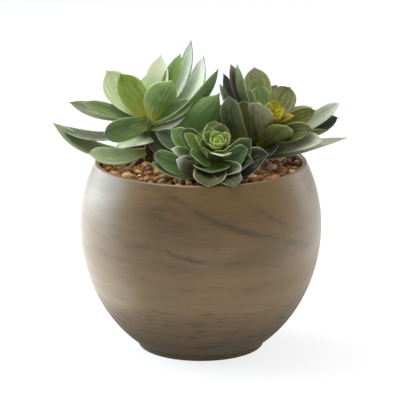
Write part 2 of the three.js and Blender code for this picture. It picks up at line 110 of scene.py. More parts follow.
# Leaves. Each row: tip x, y, z; heading and elevation of the direction that its upper side faces (None: it faces
# the growing tip of its plant); width; degrees it bends through; its coat of colour; and what differs from its
# plant's usual leaf. Of these, drop is how far below the crown it springs from the stem, spread how far from the
# stem its blade begins, and sweep how far its midline bows sideways. Of its outline, neck is the width at the
# root, belly where it is widest, full how square its shoulders are and point how sharp its end is. Tone is how
# light its coat is.
# Besides each leaf's own lightness, tone holds painted light and shade: it lightens some leaves and darkens others
# to the brightness that light and shade should give them.
LEFT = {
    "name": "echeveria_left",
    "crown": (-38.5, 8, 172),
    "lean": 0,
    "lean_to": 0,
    "usual": dict(neck=0.42, belly=0.6, full=2.4, point=0.6, cup=0.25, thick=2.6, spread=3, drop=0, sweep=0),
    "leaves": [
        (-110, 10, 167, 270, 78, 16, 75, "grey", dict(drop=5, tone=0.55)),
        (-110, 0, 171, 270, 60, 17, 88, "grey", dict(drop=26, tone=1.3)),
        (-99, 14, 183, 290, 45, 14, 45, "pale", dict(tone=0.42)),
        (-88, 4, 185, 270, 45, 12, 35, "sage", dict(tone=1.1)),
        (-66, 25, 180, 270, 60, 15, 20, "silver", {}),
        (-70.5, 20, 206, 300, 15, 24, 20, "pale", dict(belly=0.65, sweep=3)),
        (-60, 4, 206.5, 280, 10, 21, 15, "bright", dict(full=3, belly=0.5, sweep=-1, tone=1.38)),
        (-21.5, -2, 202.5, 95, 0, 23, 12, "fresh", dict(full=3, belly=0.45, drop=2, sweep=-2, tone=1.8)),
        (-29.5, 18, 218.5, 265, 20, 17, 15, "silver", dict(cup=0.5, point=0.9, tone=1.3)),
        (-41, 24, 202, 270, 20, 14, 10, "silver", {}),
        (-14.5, 15, 220, 265, 20, 11, 10, "fresh", dict(tone=1.7)),
        (-7.5, 12, 230, 225, 25, 16, 62, "green_edge", dict(cup=0.3, point=0.5, belly=0.5, sweep=-2, tone=0.7)),
        (2, 4, 219.5, 225, 30, 23, 70, "pearl", dict(cup=0.05, drop=3, belly=0.5, sweep=-3, point=0.4, tone=1.3)),
        (13, 0, 212, 130, 30, 17, 80, "deep", dict(drop=5, tone=1.75)),
        (14, -6, 194.5, 110, 10, 27, 45, "deep", dict(drop=13, spread=12, sweep=5.5, full=2, point=1, tone=3.36)),
        (-5, -10, 188, 270, 40, 14, 15, "fresh", dict(drop=3, tone=0.68)),
        (-11, -10, 177, 270, 50, 14, 20, "silver", dict(drop=8, tone=0.46)),
        (-72, -12, 163, 268, 12, 17, 5, "deep", dict(neck=0.65, belly=0.55, full=3, point=0.1, drop=4, tone=1.65)),
        (-83, -20, 151.5, 268, 30, 14, 10, "grey", dict(drop=26, sweep=3, full=3, point=0.3, tone=1.75)),
        (-64, -4, 149.5, 245, 40, 22, 12, "ash_shaded_root",
         dict(drop=13, neck=1, belly=0.25, full=1.4, point=1, spread=1, sweep=-3, tone=2.3)),
        (-54, 55, 186, None, None, 19, 20, "fresh", {}),
        (-34, 55, 201, None, None, 19, 20, "fresh", {}),
        (-20, 50, 188, None, None, 19, 20, "fresh", {}),
        (-1, 42, 191, None, None, 18, 20, "fresh", {}),
        (8, 30, 192, None, None, 18, 20, "fresh", {}),
        (-67, 48, 171, None, None, 18, 20, "grey", dict(drop=6)),
        (-22, 2, 143.5, 280, 20, 18, 10, "night", dict(drop=10, spread=1, neck=0.7)),
        (-8, 50, 165, None, None, 18, 20, "grey", dict(drop=8)),
    ],
}
FRONT = {
    "name": "echeveria_front",
    "crown": (9, -38, 150),
    "lean": 35,
    "lean_to": 270,
    "usual": dict(neck=0.45, belly=0.62, full=2.4, point=0.5, cup=0.3, thick=2.2, spread=2, drop=0, sweep=0),
    "leaves": [
        (49.5, -52, 159.5, 270, 45, 24, 30, "dusk", dict(drop=3, sweep=-5, point=0.8, tone=0.26)),
        (36.5, -45, 169, 285, 30, 18, 35, "deep", dict(sweep=-5, point=1, tone=1)),
        (38, -58, 155, 275, 50, 20, 28, "dusk", dict(sweep=-4, tone=0.5)),
        (34, -52, 163, 275, 40, 18, 35, "deep", dict(sweep=-4, tone=0.95)),
        (15.5, -62, 159.4, 287, 50, 17, -72, "lip", dict(full=3, point=0, cup=0.1, thick=1.6, tone=1.5)),
        (29, -68.5, 150.5, 270, 50, 20, 30, "silver_tip", dict(sweep=-4, belly=0.5, tone=0.5)),
        (7, -70, 149.5, 270, 55, 26, 25, "deep", dict(full=3, point=0, tone=1.0)),
        (-8, -58, 161, 270, 50, 16, 30, "fresh", dict(sweep=2)),
        (24.5, -80, 141, 270, 60, 18, -22, "plum_back", dict(drop=5, full=3.5, point=0, tone=0.6)),
        (5, -80.5, 141, 270, 60, 24, -22, "plum_back", dict(drop=4, full=3.5, point=0, tone=0.9)),
        (-37, -56, 153, 270, 50, 14, 20, "grey", dict(drop=11, sweep=4, tone=0.6)),
        (-34.5, -52, 158.5, 270, 40, 17, 20, "deep", dict(drop=9, sweep=4, full=3, point=0, tone=1.5)),
        (-18, -61, 157, 270, 15, 15, 25, "lilac_tip", dict(drop=12, sweep=1, tone=1.4)),
        (-22, -58, 164, 270, 40, 10, 20, "silver_tip", dict(tone=0.9)),
        (-34, -30, 171, 300, 40, 19, 20, "deep", dict(point=0.8, tone=0.45)),
        (-22, -36, 173, 280, 30, 16, 20, "fresh", dict(point=0.1, belly=0.65, tone=1.32)),
        (-14.5, -38, 173.5, 290, 30, 16, 20, "deep", dict(point=0)),
        (-12, -46, 173, 300, 30, 11, 20, "young", dict(tone=1.1)),
        (-4, -48, 172, 340, 30, 9, 20, "young", {}),
        (10, -26, 178, 270, 20, 16, 20, "fresh", dict(point=0)),
        (5, -30, 175, 290, 20, 12, 20, "young", {}),
        (-15, -10, 158, None, None, 15, 20, "fresh", dict(drop=3)),
        (28, -14, 152, None, None, 15, 20, "fresh", dict(drop=3)),
        (2, -16, 169, None, None, 15, 20, "deep", dict(drop=3)),
    ],
}
RIGHT = {
    "name": "echeveria_right",
    "crown": (48, 12, 165),
    "lean": 15,
    "lean_to": 340,
    "usual": dict(neck=0.42, belly=0.62, full=2.4, point=0.4, cup=0.3, thick=2.4, spread=4, drop=0, sweep=0),
    "leaves": [
        (40, 40, 204.5, 275, 20, 21, 15, "plum_tip", dict(tone=1.38)),
        (43.5, 30, 192, 275, 20, 16, 15, "fresh", dict(point=0.1, tone=1.08)),
        (67, 30, 191, 275, 25, 20, 15, "rust_rim", dict(belly=0.65, point=0.1, tone=1.3)),
        (57, 44, 190, 270, 20, 14, 15, "plum", {}),
        (84, 26, 176, 250, 50, 14, 20, "grey", {}),
        (85.5, 8, 178, 270, 15, 13, -10, "olive", dict(drop=3, tone=0.98)),
        (104, 12, 183, 250, 30, 12, 40, "frost", dict(drop=15, full=3, point=0.1, tone=1.0)),
        (103.3, 16, 171, 260, 20, 13, 30, "night", dict(drop=18, full=3, point=0.1, tone=0.6)),
        (95, -6, 166, 270, 50, 8, 10, "olive", dict(drop=14, tone=0.4)),
        (83, -12, 167, 270, 45, 18, 10, "amber_root", dict(drop=8, belly=0.55, tone=0.72)),
        (90, -16, 160, 270, 50, 18, -20, "stone", dict(drop=22, point=0.1, tone=1.5)),
        (108.5, -14, 162, 270, 30, 11, -15, "frost",
         dict(drop=24, point=0.5, full=1.4, belly=0.4, cup=0.15, tone=0.92)),
        (64, -20, 172, 100, 10, 20, 10, "amber_root", dict(drop=16, neck=0.8, tone=1.85)),
        (38.5, -22, 191, 80, -5, 18, 15, "night", dict(drop=13, sweep=4, full=3, tone=3.3)),
        (20.5, -18, 194.5, 80, -5, 17, 30, "dusk",
         dict(drop=13, sweep=-1.5, spread=22, neck=0.95, belly=0.45, full=3, tone=1.6)),
        (17, 14, 205, 325, 20, 15, 75, "plum", dict(drop=4, tone=0.52)),
        (22, 10, 213, 310, 10, 12, 55, "plum", dict(drop=2, tone=2.8)),
        (27, 8, 213, 22, 5, 18, 55, "sage", dict(drop=2, tone=0.92)),
        (14, 0, 200, 320, 50, 12, 60, "stone", dict(drop=6)),
        (32, 14, 194, 320, 20, 12, 15, "fresh", {}),
        (45, 60, 188, None, None, 20, 20, "grey", {}),
        (68, 58, 175, None, None, 20, 20, "grey", {}),
        (85, 45, 162, None, None, 18, 20, "grey", dict(drop=6)),
        (11, 6, 182, 80, 0, 26, 20, "night", dict(drop=18, neck=0.9, tone=0.4)),
        (50, 65, 160, None, None, 18, 20, "dusk", dict(drop=8)),
        (50, -24, 150, 270, 30, 22, 5, "night", dict(drop=18, spread=0, neck=0.8, tone=0.5)),
        (31, -14, 190.5, 80, -5, 18, 20, "moss", dict(drop=13, spread=12, neck=0.95)),
    ],
}
PLANTS = [LEFT, FRONT, RIGHT]

# The stems: radius, the heights where they start and where they bend towards the crown, the rings below and above
# that bend, how much every other ring swells over an old leaf scar, and how far below the crown the bark turns
# green and is all green. Sizes in millimetres.
STEM = {
    "radius": 3.6,
    "bottom": 128,
    "bend": 139,
    "rings_below": 3,
    "rings_above": 12,
    "swell": 1.1,
    "turns_green": 14,
    "all_green": 2,
    "green": (128, 142, 76),
}

# A stem takes the leaves' material without their rim; how close together the bark's streaks follow one another up
# it, and which part of the streaks' pattern it shows.
NO_RIM = (0, 0, 0, 0)
BARK_STREAKS = 0.15
BARK_PATTERN = 7

# A leaf's upper side has a groove and its underside a keel, as shares of its thickness; the higher the sharpness,
# the narrower both are. The blade thins out to this half thickness at its tip, in millimetres.
GROOVE = 0.35
KEEL = 0.3
RIB_SHARPNESS = 2.2
THINNEST = 0.15

# The nib at a leaf's tip: its length as a share of the leaf's, and its width as a share of the leaf's.
NIB_LENGTH = 0.035
NIB_WIDTH = 0.16

# Where the random ripples and shades of the rosettes and of the hearts start; each next plant takes the next one.
ROSETTE_SEED = 100
HEART_SEED = 200

# The hearts: where each sits and points, its number of leaves, how long and wide the outermost is, how far out
# it springs, the coats in its shade, in its middle and in its light, and how much lighter the innermost is.
HEARTS = [
    {
        "name": "heart_front",
        "slot": "heart_front",
        "base": (12, -45, 163),
        "axis": (0, -0.62, 0.78),
        "leaves": 13,
        "length": 14,
        "width": 14,
        "ring": 3.5,
        "coats": ("bud", "bud", "young"),
        "fade": 1.5,
        "usual": dict(neck=0.6, belly=0.55, full=2.2, point=0.05, cup=0.45, thick=1.5, sweep=0),
    },
    {
        "name": "heart_right",
        "slot": "heart_right",
        "base": (49.5, 3, 170.5),
        "axis": (0.25, -0.3, 0.92),
        "leaves": 14,
        "length": 18,
        "width": 11,
        "ring": 3,
        "coats": ("lime", "lemon", "amber"),
        "fade": 0.2,
        "usual": dict(neck=0.6, belly=0.55, full=2, point=0.3, cup=0.45, thick=1.5, sweep=0),
    },
]

# A heart's innermost leaves are small and steep, and the outermost lie this much flatter. All bend alike. Angles in
# degrees, and the size as a share of the outermost leaf's.
HEART_SMALLEST = 0.45
HEART_STEEPEST = 85
HEART_OPENING = 45
HEART_BEND = 50
HEART_POINTS_AROUND = 16
HEART_RINGS = 16

# Coats of colour for the leaves, in sRGB bytes: outer face, inner face, near the stem, at the tip, along the rim.
# The last two numbers are how strongly the rim shows and where across the blade it starts.
# A coat's inner face is often paler than its outer one: partly the leaf's own colour and bloom and partly painted
# light on the lit inner side, most of all in the pale, silver, green_edge and pearl coats.
COATS = {
    "fresh": ((96, 122, 62), (112, 138, 72), (150, 156, 62), (122, 144, 88), (214, 224, 180), 0.65, 0.9),
    "deep": ((78, 102, 58), (90, 114, 66), (108, 126, 56), (84, 106, 68), (200, 214, 170), 0.65, 0.9),
    "bright": ((116, 140, 46), (130, 152, 62), (160, 156, 44), (116, 138, 54), (214, 222, 150), 0.7, 0.9),
    "grey": ((96, 114, 76), (140, 154, 116), (140, 150, 86), (154, 166, 132), (214, 220, 194), 0.8, 0.9),
    "pale": ((150, 166, 110), (204, 212, 172), (170, 174, 90), (194, 204, 160), (226, 230, 196), 0.5, 0.9),
    "silver": ((120, 142, 70), (220, 226, 196), (180, 188, 120), (210, 214, 196), (226, 230, 208), 0.6, 0.9),
    "green_edge": ((120, 142, 70), (222, 228, 198), (190, 198, 126), (212, 218, 196), (104, 130, 72), 0.9, 0.72),
    "pearl": ((124, 142, 84), (214, 222, 198), (190, 198, 136), (200, 198, 202), (140, 154, 120), 0.85, 0.78),
    "silver_tip": ((92, 112, 56), (102, 122, 60), (134, 144, 58), (224, 226, 210), (226, 228, 206), 0.8, 0.9),
    "young": ((120, 142, 62), (144, 160, 80), (160, 166, 70), (140, 156, 80), (216, 222, 164), 0.6, 0.9),
    "bud": ((144, 164, 84), (164, 180, 100), (168, 172, 76), (164, 178, 104), (220, 226, 176), 0.5, 0.9),
    "olive": ((102, 106, 30), (126, 128, 36), (128, 108, 36), (106, 110, 44), (204, 204, 146), 0.6, 0.9),
    "amber_root": ((88, 98, 44), (102, 108, 44), (132, 108, 30), (94, 104, 54), (200, 200, 146), 0.7, 0.9),
    "sage": ((118, 134, 84), (132, 148, 96), (120, 134, 72), (140, 154, 112), (206, 216, 180), 0.8, 0.9),
    # Its dark colour near the stem is painted shade at the base of its leaf.
    "ash_shaded_root": ((104, 120, 84), (176, 186, 158), (48, 60, 38), (120, 134, 100), (214, 222, 200), 0.8, 0.9),
    "lip": ((92, 106, 52), (160, 176, 122), (76, 92, 44), (182, 194, 150), (216, 224, 186), 0.7, 0.9),
    "frost": ((150, 160, 128), (184, 190, 168), (104, 116, 76), (196, 200, 184), (214, 218, 200), 0.8, 0.9),
    "stone": ((128, 132, 108), (140, 142, 118), (116, 118, 70), (170, 168, 154), (206, 204, 184), 0.7, 0.9),
    "moss": ((90, 98, 40), (96, 104, 44), (84, 88, 36), (98, 100, 62), (192, 196, 150), 0.7, 0.9),
    "dusk": ((72, 80, 50), (86, 96, 58), (112, 112, 52), (84, 86, 66), (188, 196, 160), 0.6, 0.9),
    "night": ((78, 80, 58), (88, 90, 66), (106, 102, 46), (82, 78, 68), (176, 176, 146), 0.7, 0.9),
    "plum": ((90, 80, 76), (104, 94, 86), (98, 98, 56), (100, 86, 92), (174, 166, 150), 0.6, 0.9),
    "plum_tip": ((96, 106, 60), (112, 120, 66), (128, 134, 58), (132, 116, 108), (198, 192, 172), 0.8, 0.9),
    "lilac_tip": ((96, 106, 60), (136, 136, 108), (104, 116, 54), (216, 210, 214), (206, 204, 194), 0.8, 0.9),
    "plum_back": ((78, 84, 46), (94, 92, 50), (84, 84, 50), (84, 92, 46), (184, 186, 160), 0.7, 0.9),
    "rust_rim": ((104, 110, 62), (122, 126, 74), (134, 134, 50), (112, 108, 74), (134, 106, 74), 0.8, 0.9),
    "lime": ((158, 166, 20), (180, 188, 34), (150, 150, 16), (192, 202, 110), (226, 228, 170), 0.6, 0.9),
    "lemon": ((158, 150, 0), (178, 168, 0), (156, 146, 14), (176, 170, 40), (212, 206, 90), 0.4, 0.9),
    "amber": ((158, 126, 0), (166, 134, 4), (160, 136, 18), (176, 168, 90), (206, 200, 124), 0.5, 0.9),
}

# Pebble colours in sRGB bytes, each with how common it is.
PEBBLES = [
    ((176, 114, 54), 5),
    ((152, 92, 44), 5),
    ((194, 138, 74), 5),
    ((124, 78, 40), 4),
    ((206, 164, 102), 3),
    ((222, 194, 142), 1.2),
    ((96, 64, 34), 3),
    ((204, 144, 44), 0.8),
    ((78, 62, 40), 1.5),
    ((164, 90, 46), 2),
]

# The three pebbles that the others are copies of: the seed of its dents, and its proportions.
PEBBLE_SHAPES = ((3, (1, 0.8, 0.6)), (5, (1, 0.68, 0.55)), (9, (1, 0.9, 0.7)))

# How far a pebble strays from its place in the spiral, outwards and round it in degrees, and its half height as a
# share of its half length.
STRAY = 0.8 * MM
STRAY_ROUND = 3
PEBBLE_FLATNESS = 0.6

# The room between what fills the pot and its wall.
CLEARANCE = 0.7 * MM

# How finely the bed under the pebbles is drawn and spun.
BED_RINGS = 8
BED_STEPS = 96

# Painted shade on the pebbles beside the front plant: the patch's middle x and y, how far it reaches, and how light
# the pebbles at its middle are.
PAINTED_PEBBLE_SHADE = {"middle": (-24, -40), "reach": 26, "tone": 0.4}

# The table lies a hair below the foot, so that the two don't share a plane. Sizes in metres.
TABLE_SIZE = 12
TABLE_HEIGHT = -0.0002

# Where the room on the viewer's side passes into the paper behind, from -1 in front to 1 at the far side.
ROOM_ENDS = -0.5
PAPER_STARTS = 0.7

# The softboxes. Each row: its name, the power setting that it takes and its share of that, its place, its width and
# height, its colour, and the point that it faces. Those that lie on the table face straight up.
OBJECT_MIDDLE = (0, 0, 0.12)
SOFTBOXES = [
    ("left_softbox", "left_power", 1, (-0.98, 0.44, 0.12), (1.0, 1.3), (0.74, 0.93, 1.1), OBJECT_MIDDLE),
    ("low_softbox", "low_power", 1, (-0.33, 0.42, 0.01), (0.5, 1.0), (0.9, 0.97, 1.0), (-0.33, 0.42, 1)),
    ("low_right_softbox", "low_power", 0.5, (0.44, 0.38, 0.01), (0.5, 1.0), (0.9, 0.97, 1.0), (0.44, 0.38, 1)),
    ("right_softbox", "right_power", 1, (0.95, 0.52, 0.1), (0.35, 1.2), (0.85, 0.95, 1.0), OBJECT_MIDDLE),
    ("top_softbox", "top_power", 1, (-0.25, 0.1, 1.1), (0.8, 0.8), (1, 1, 1), OBJECT_MIDDLE),
]

# The camera looks down by this many degrees, from far off and through a long lens. Its lens and sensor are in
# millimetres, the rest in metres.
CAMERA = {"place": (-0.00067, -1.7337, 0.5641), "down": 14.65, "lens": 216.2, "sensor": 36, "sees": 20}


# Settings


def colour_property(name, description, rgb):
    """A colour that the user picks, with its default given in sRGB bytes."""
    return bpy.props.FloatVectorProperty(
        name=name,
        description=description,
        subtype="COLOR",
        size=3,
        min=0,
        max=1,
        default=linear(rgb)[:3],
    )


def linear(rgb):
    """An sRGB byte colour as linear red, green, blue and alpha."""
    parts = [c / 255 for c in rgb]
    return tuple(c / 12.92 if c <= 0.04045 else ((c + 0.055) / 1.055) ** 2.4 for c in parts) + (1.0,)


def length_property(name, description, millimetres):
    """A length that the user sets, with its default given in millimetres."""
    default = millimetres * MM
    return bpy.props.FloatProperty(name=name, description=description, unit="LENGTH", default=default)


def power_property(name, description, watts):
    """A light's power that the user sets, in watts."""
    return bpy.props.FloatProperty(name=name, description=description, unit="POWER", default=watts)


def brightness_property(name, description, default):
    """A brightness that the user sets."""
    return bpy.props.FloatProperty(name=name, description=description, default=default, min=0)


class PotSettings(bpy.types.PropertyGroup):
    """Sizes and colours of the planter."""

    radius: length_property("Belly radius", "Outer radius of the pot at its widest", 90)
    height: bpy.props.FloatProperty(
        name="Height",
        description="Height of the lip above the surface that the pot stands on",
        unit="LENGTH",
        default=POT_HIGH.z,
    )
    wall: length_property("Wall", "Thickness of the wall", 3.8)
    foot_radius: length_property("Foot radius", "Radius of the foot", 47)
    foot_height: length_property("Foot height", "Height of the foot", 6)
    floor: length_property("Floor", "Height of the inside floor", 9)
    clay: colour_property("Clay", "Main colour of the satin glaze", (126, 99, 57))
    grain: colour_property("Grain", "Colour of the fine darker grain", (98, 77, 43))
    # This colour darkens the mineral streaks, the hair lines and the bands of painted shade alike.
    streak_and_shade: colour_property("Streak", "Colour of the dark mineral streaks", (58, 49, 38))
    # This colour is painted shade: what the glaze is darkened to towards the foot and on the underside.
    painted_foot_shade: colour_property("Soot", "Colour that the glaze darkens to at the foot", (46, 31, 0))


class GravelSettings(bpy.types.PropertyGroup):
    """Sizes and amount of the pebbles."""

    count: bpy.props.IntProperty(
        name="Pebbles", description="How many pebbles lie on the bed", default=560, min=50
    )
    smallest: length_property("Smallest", "Half length of the smallest pebble", 2.4)
    largest: length_property("Largest", "Half length of the largest pebble", 5.2)
    surface: length_property("Surface", "Height of the bed at the wall", 132)
    rise: length_property("Rise", "How much higher the bed is in the middle", 3.2)
    seed: bpy.props.IntProperty(name="Seed", description="Which of the random layouts", default=41)


class LeafSettings(bpy.types.PropertyGroup):
    """How finely the leaves are made and how fleshy they look."""

    around: bpy.props.IntProperty(
        name="Around", description="Points round a leaf's section", default=20, min=6
    )
    along: bpy.props.IntProperty(name="Along", description="Rings along a leaf", default=26, min=6)
    stem: colour_property("Stem", "Colour of the stems", (70, 62, 38))
    translucency: bpy.props.FloatProperty(
        name="Translucency",
        description="How much light passes through the flesh",
        default=0.12,
        min=0,
        max=1,
        subtype="FACTOR",
    )


class StageSettings(bpy.types.PropertyGroup):
    """The studio: floor and light."""

    floor: colour_property("Floor", "Colour of the floor", (112, 112, 112))
    glow: brightness_property("Glow", "How brightly the white table is lit from below", 0.9)
    front: brightness_property("Front", "Brightness of the room on the viewer's side", 0.4)
    back: brightness_property("Back", "Brightness of the paper behind the object", 1.0)
    left_power: power_property("Left light", "Power of the left softbox", 25)
    low_power: power_property("Low light", "Power of the left softbox that lies on the table", 2.4)
    right_power: power_property("Right light", "Power of the right softbox", 3.1)
    top_power: power_property("Top light", "Power of the overhead softbox", 8)


# Helpers


def settings():
    """The user's settings for the whole object."""
    return bpy.context.scene.potted_echeveria


def deselect():
    """Leave edit mode and select nothing."""
    if bpy.context.mode != "OBJECT":
        bpy.ops.object.mode_set(mode="OBJECT")
    bpy.ops.object.select_all(action="DESELECT")


def select_only(objects):
    """Select these objects, with the first one active."""
    deselect()
    for obj in objects:
        obj.select_set(True)
    bpy.context.view_layer.objects.active = objects[0]


def coordinates(mesh):
    """A mesh's points as an array."""
    flat = np.empty(len(mesh.vertices) * 3, np.float32)
    mesh.vertices.foreach_get("co", flat)
    return flat.reshape(-1, 3).astype(float)


def place_points(mesh, points):
    """Move a mesh's points to these places."""
    mesh.vertices.foreach_set("co", np.asarray(points, np.float32).ravel())
    mesh.update()


def write_attribute(mesh, name, kind, values):
    """Store one value for each point of a mesh."""
    attribute = mesh.attributes.get(name) or mesh.attributes.new(name, kind, "POINT")
    key = {"FLOAT": "value", "FLOAT_VECTOR": "vector", "FLOAT_COLOR": "color"}[kind]
    attribute.data.foreach_set(key, np.asarray(values, np.float32).ravel())


def join(objects, name):
    """Join objects into one, named piece at the origin."""
    select_only(objects)
    bpy.ops.object.join()
    whole = bpy.context.object
    bpy.ops.object.transform_apply(location=True, rotation=True, scale=True)
    bpy.ops.object.shade_smooth()
    whole.name = name
    whole.data.name = name
    deselect()
    return whole


def give_to_frame(piece, material, slot, *nodes):
    """Give a piece its material and its place on the frame."""
    piece.data.materials.clear()
    piece.data.materials.append(material)
    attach(piece, "root")
    if nodes:
        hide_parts(*nodes)


def unit(v):
    """The vector at length 1."""
    return v / np.linalg.norm(v)


def square_to(v, axis):
    """The part of v that is square to the unit vector axis, at length 1."""
    return unit(v - axis * float(v @ axis))


def direction(heading, elevation):
    """The unit vector of a heading from +X towards +Y and an elevation, both in degrees."""
    h, e = math.radians(heading), math.radians(elevation)
    return np.array([math.cos(h) * math.cos(e), math.sin(h) * math.cos(e), math.sin(e)])


def smooth_step(low, high, x):
    """0 below low, 1 above high and smooth between them."""
    t = np.clip((x - low) / (high - low), 0, 1)
    return t * t * (3 - 2 * t)


# Materials


class Nodes:
    """Builds one material's node tree."""

    def __init__(self, name):
        self.material = bpy.data.materials.new(name)
        self.material.use_nodes = True
        self.tree = self.material.node_tree
        self.shader = self.tree.nodes["Principled BSDF"]

    def add(self, kind, **values):
        """A node of this kind, with its own properties set."""
        node = self.tree.nodes.new(kind)
        for key, value in values.items():
            setattr(node, key, value)
        return node

    def link(self, source, target):
        """Join an output socket to an input socket."""
        self.tree.links.new(source, target)

    def attribute(self, name):
        """The node that reads a point attribute."""
        return self.add("ShaderNodeAttribute", attribute_name=name)

    def noise(self, scale, stretch=(1, 1, 1), detail=3.0, roughness=0.5, vector=None, distortion=0.0):
        """Noise from 0 to 1 on the object's coordinates, or on another vector."""
        if vector is None:
            vector = self.add("ShaderNodeTexCoord").outputs["Object"]
        mapping = self.add("ShaderNodeMapping")
        mapping.inputs["Scale"].default_value = stretch
        self.link(vector, mapping.inputs["Vector"])
        texture = self.add("ShaderNodeTexNoise")
        texture.inputs["Scale"].default_value = scale
        texture.inputs["Detail"].default_value = detail
        texture.inputs["Roughness"].default_value = roughness
        texture.inputs["Distortion"].default_value = distortion
        self.link(mapping.outputs["Vector"], texture.inputs["Vector"])
        return texture.outputs["Fac"]

    def math(self, operation, a, b=None):
        """One Math node; each side is a socket or a number."""
        node = self.add("ShaderNodeMath", operation=operation)
        for socket, value in zip(node.inputs, (a, b)):
            if value is None:
                continue
            if isinstance(value, (int, float)):
                socket.default_value = value
            else:
                self.link(value, socket)
        return node.outputs[0]

    def spread(self, source, low, high, to_low=0.0, to_high=1.0):
        """Map a value from low..high to to_low..to_high, clamped and smooth."""
        node = self.add("ShaderNodeMapRange", interpolation_type="SMOOTHSTEP")
        for key, value in (
            ("From Min", low),
            ("From Max", high),
            ("To Min", to_low),
            ("To Max", to_high),
        ):
            node.inputs[key].default_value = value
        self.link(source, node.inputs["Value"])
        return node.outputs["Result"]

    def mix(self, factor, a, b, blend="MIX"):
        """Mix two colours; each is a socket or a colour, and the factor a socket or a number."""
        node = self.add("ShaderNodeMix", data_type="RGBA", blend_type=blend)
        if isinstance(factor, (int, float)):
            node.inputs["Factor"].default_value = factor
        else:
            self.link(factor, node.inputs["Factor"])
        for socket, value in ((node.inputs[6], a), (node.inputs[7], b)):
            if isinstance(value, (tuple, list)):
                socket.default_value = value
            else:
                self.link(value, socket)
        return node.outputs[2]

    def bump(self, height, distance, strength=1.0, below=None):
        """A bump of this height in metres, on top of another bump."""
        node = self.add("ShaderNodeBump")
        node.inputs["Distance"].default_value = distance
        node.inputs["Strength"].default_value = strength
        self.link(height, node.inputs["Height"])
        if below is not None:
            self.link(below, node.inputs["Normal"])
        return node.outputs["Normal"]

    def finish(self, colour, roughness, normal=None, **sockets):
        """Join the results to the shader."""
        self.link(colour, self.shader.inputs["Base Color"])
        if isinstance(roughness, (int, float)):
            self.shader.inputs["Roughness"].default_value = roughness
        else:
            self.link(roughness, self.shader.inputs["Roughness"])
        if normal is not None:
            self.link(normal, self.shader.inputs["Normal"])
        for key, value in sockets.items():
            self.shader.inputs[key.replace("_", " ")].default_value = value
        return self.material


# Colours that the materials mix in, as linear red, green, blue and alpha.
# The leaves' darker colour serves their own streaks, clouds and mottling, and painted shade across the middle of the
# blade.
LEAF_DARK_AND_SHADE = (0.004, 0.016, 0.004, 1.0)
LEAF_BLOOM = (0.62, 0.68, 0.52, 1.0)
LEAF_BRIGHTER = (1.7, 1.7, 1.7, 1.0)
PEBBLE_SHADE = (0.04, 0.014, 0.004, 1.0)
PEBBLE_LIGHT = (0.9, 0.66, 0.36, 1.0)
SCRATCH = linear((30, 22, 14))
CRUMB_DARK = linear((38, 26, 18))
CRUMB_LIGHT = linear((92, 62, 40))
CRUMB_WET = linear((26, 18, 14))


def with_alpha(colour):
    """A property's colour as a node colour."""
    return (colour[0], colour[1], colour[2], 1.0)


def ceramic_material(pot):
    """Satin clay glaze with fine wavy horizontal grain, soft clouds, dark mineral streaks and wide bands of painted
    shade, with painted shade darkening it towards the foot.
    """
    n = Nodes("satin_taupe_ceramic")
    clay, grain, streak_and_shade = with_alpha(pot.clay), with_alpha(pot.grain), with_alpha(pot.streak_and_shade)
    bands = n.noise(8, stretch=(1, 1, 7), detail=7, roughness=0.62, distortion=0.5)
    fine = n.noise(48, stretch=(1, 1, 13), detail=6, roughness=0.65, distortion=0.3)
    cloud = n.noise(11, detail=2)
    body = n.mix(n.spread(bands, 0.35, 0.7, 0.12, 0.75), clay, grain)
    body = n.mix(n.math("MULTIPLY", n.spread(fine, 0.45, 0.72), 0.45), body, grain)
    light = tuple(min(1.0, c * 1.2) for c in clay[:3]) + (1.0,)
    body = n.mix(n.math("MULTIPLY", n.spread(cloud, 0.45, 0.75), 0.4), body, light)
    # How deep the painted shade towards the foot is; it also places the hair lines, scratches and rougher glaze.
    foot = n.attribute("foot").outputs["Fac"]
    hair = n.noise(24, stretch=(1, 1, 11), detail=8, roughness=0.75, distortion=0.6)
    wear = n.math("ADD", n.math("MULTIPLY", foot, 0.6), 0.3)
    body = n.mix(n.math("MULTIPLY", n.spread(hair, 0.56, 0.7), wear), body, streak_and_shade)
    # The mineral streaks and the wide bands of painted shade, broken up and darkened together.
    streak_and_shade_amount = n.attribute("streak_and_shade").outputs["Fac"]
    broken = n.noise(75, stretch=(1, 1, 4), detail=5, roughness=0.7)
    dark = n.math("MULTIPLY", streak_and_shade_amount, n.spread(broken, 0.34, 0.58, 0.2, 1.0))
    body = n.mix(dark, body, streak_and_shade)
    scratches = n.noise(58, stretch=(1, 1, 15), detail=6, roughness=0.7, distortion=0.3)
    scratched = n.math("MULTIPLY", n.spread(foot, 0.0, 0.35, 0.12, 0.9), n.spread(scratches, 0.54, 0.61))
    # Painted shade: the glaze is darkened towards the foot and on the underside.
    body = n.mix(n.math("MULTIPLY", foot, 0.88), body, with_alpha(pot.painted_foot_shade))
    body = n.mix(scratched, body, SCRATCH)
    grit = n.noise(1400, detail=3, roughness=0.6)
    normal = n.bump(fine, 0.0003, 0.3)
    normal = n.bump(grit, 0.0001, 0.35, below=normal)
    rough = n.math("ADD", n.spread(bands, 0.3, 0.7, 0.36, 0.44), n.math("MULTIPLY", foot, 0.5))
    return n.finish(body, rough, normal, Specular_IOR_Level=0.6)


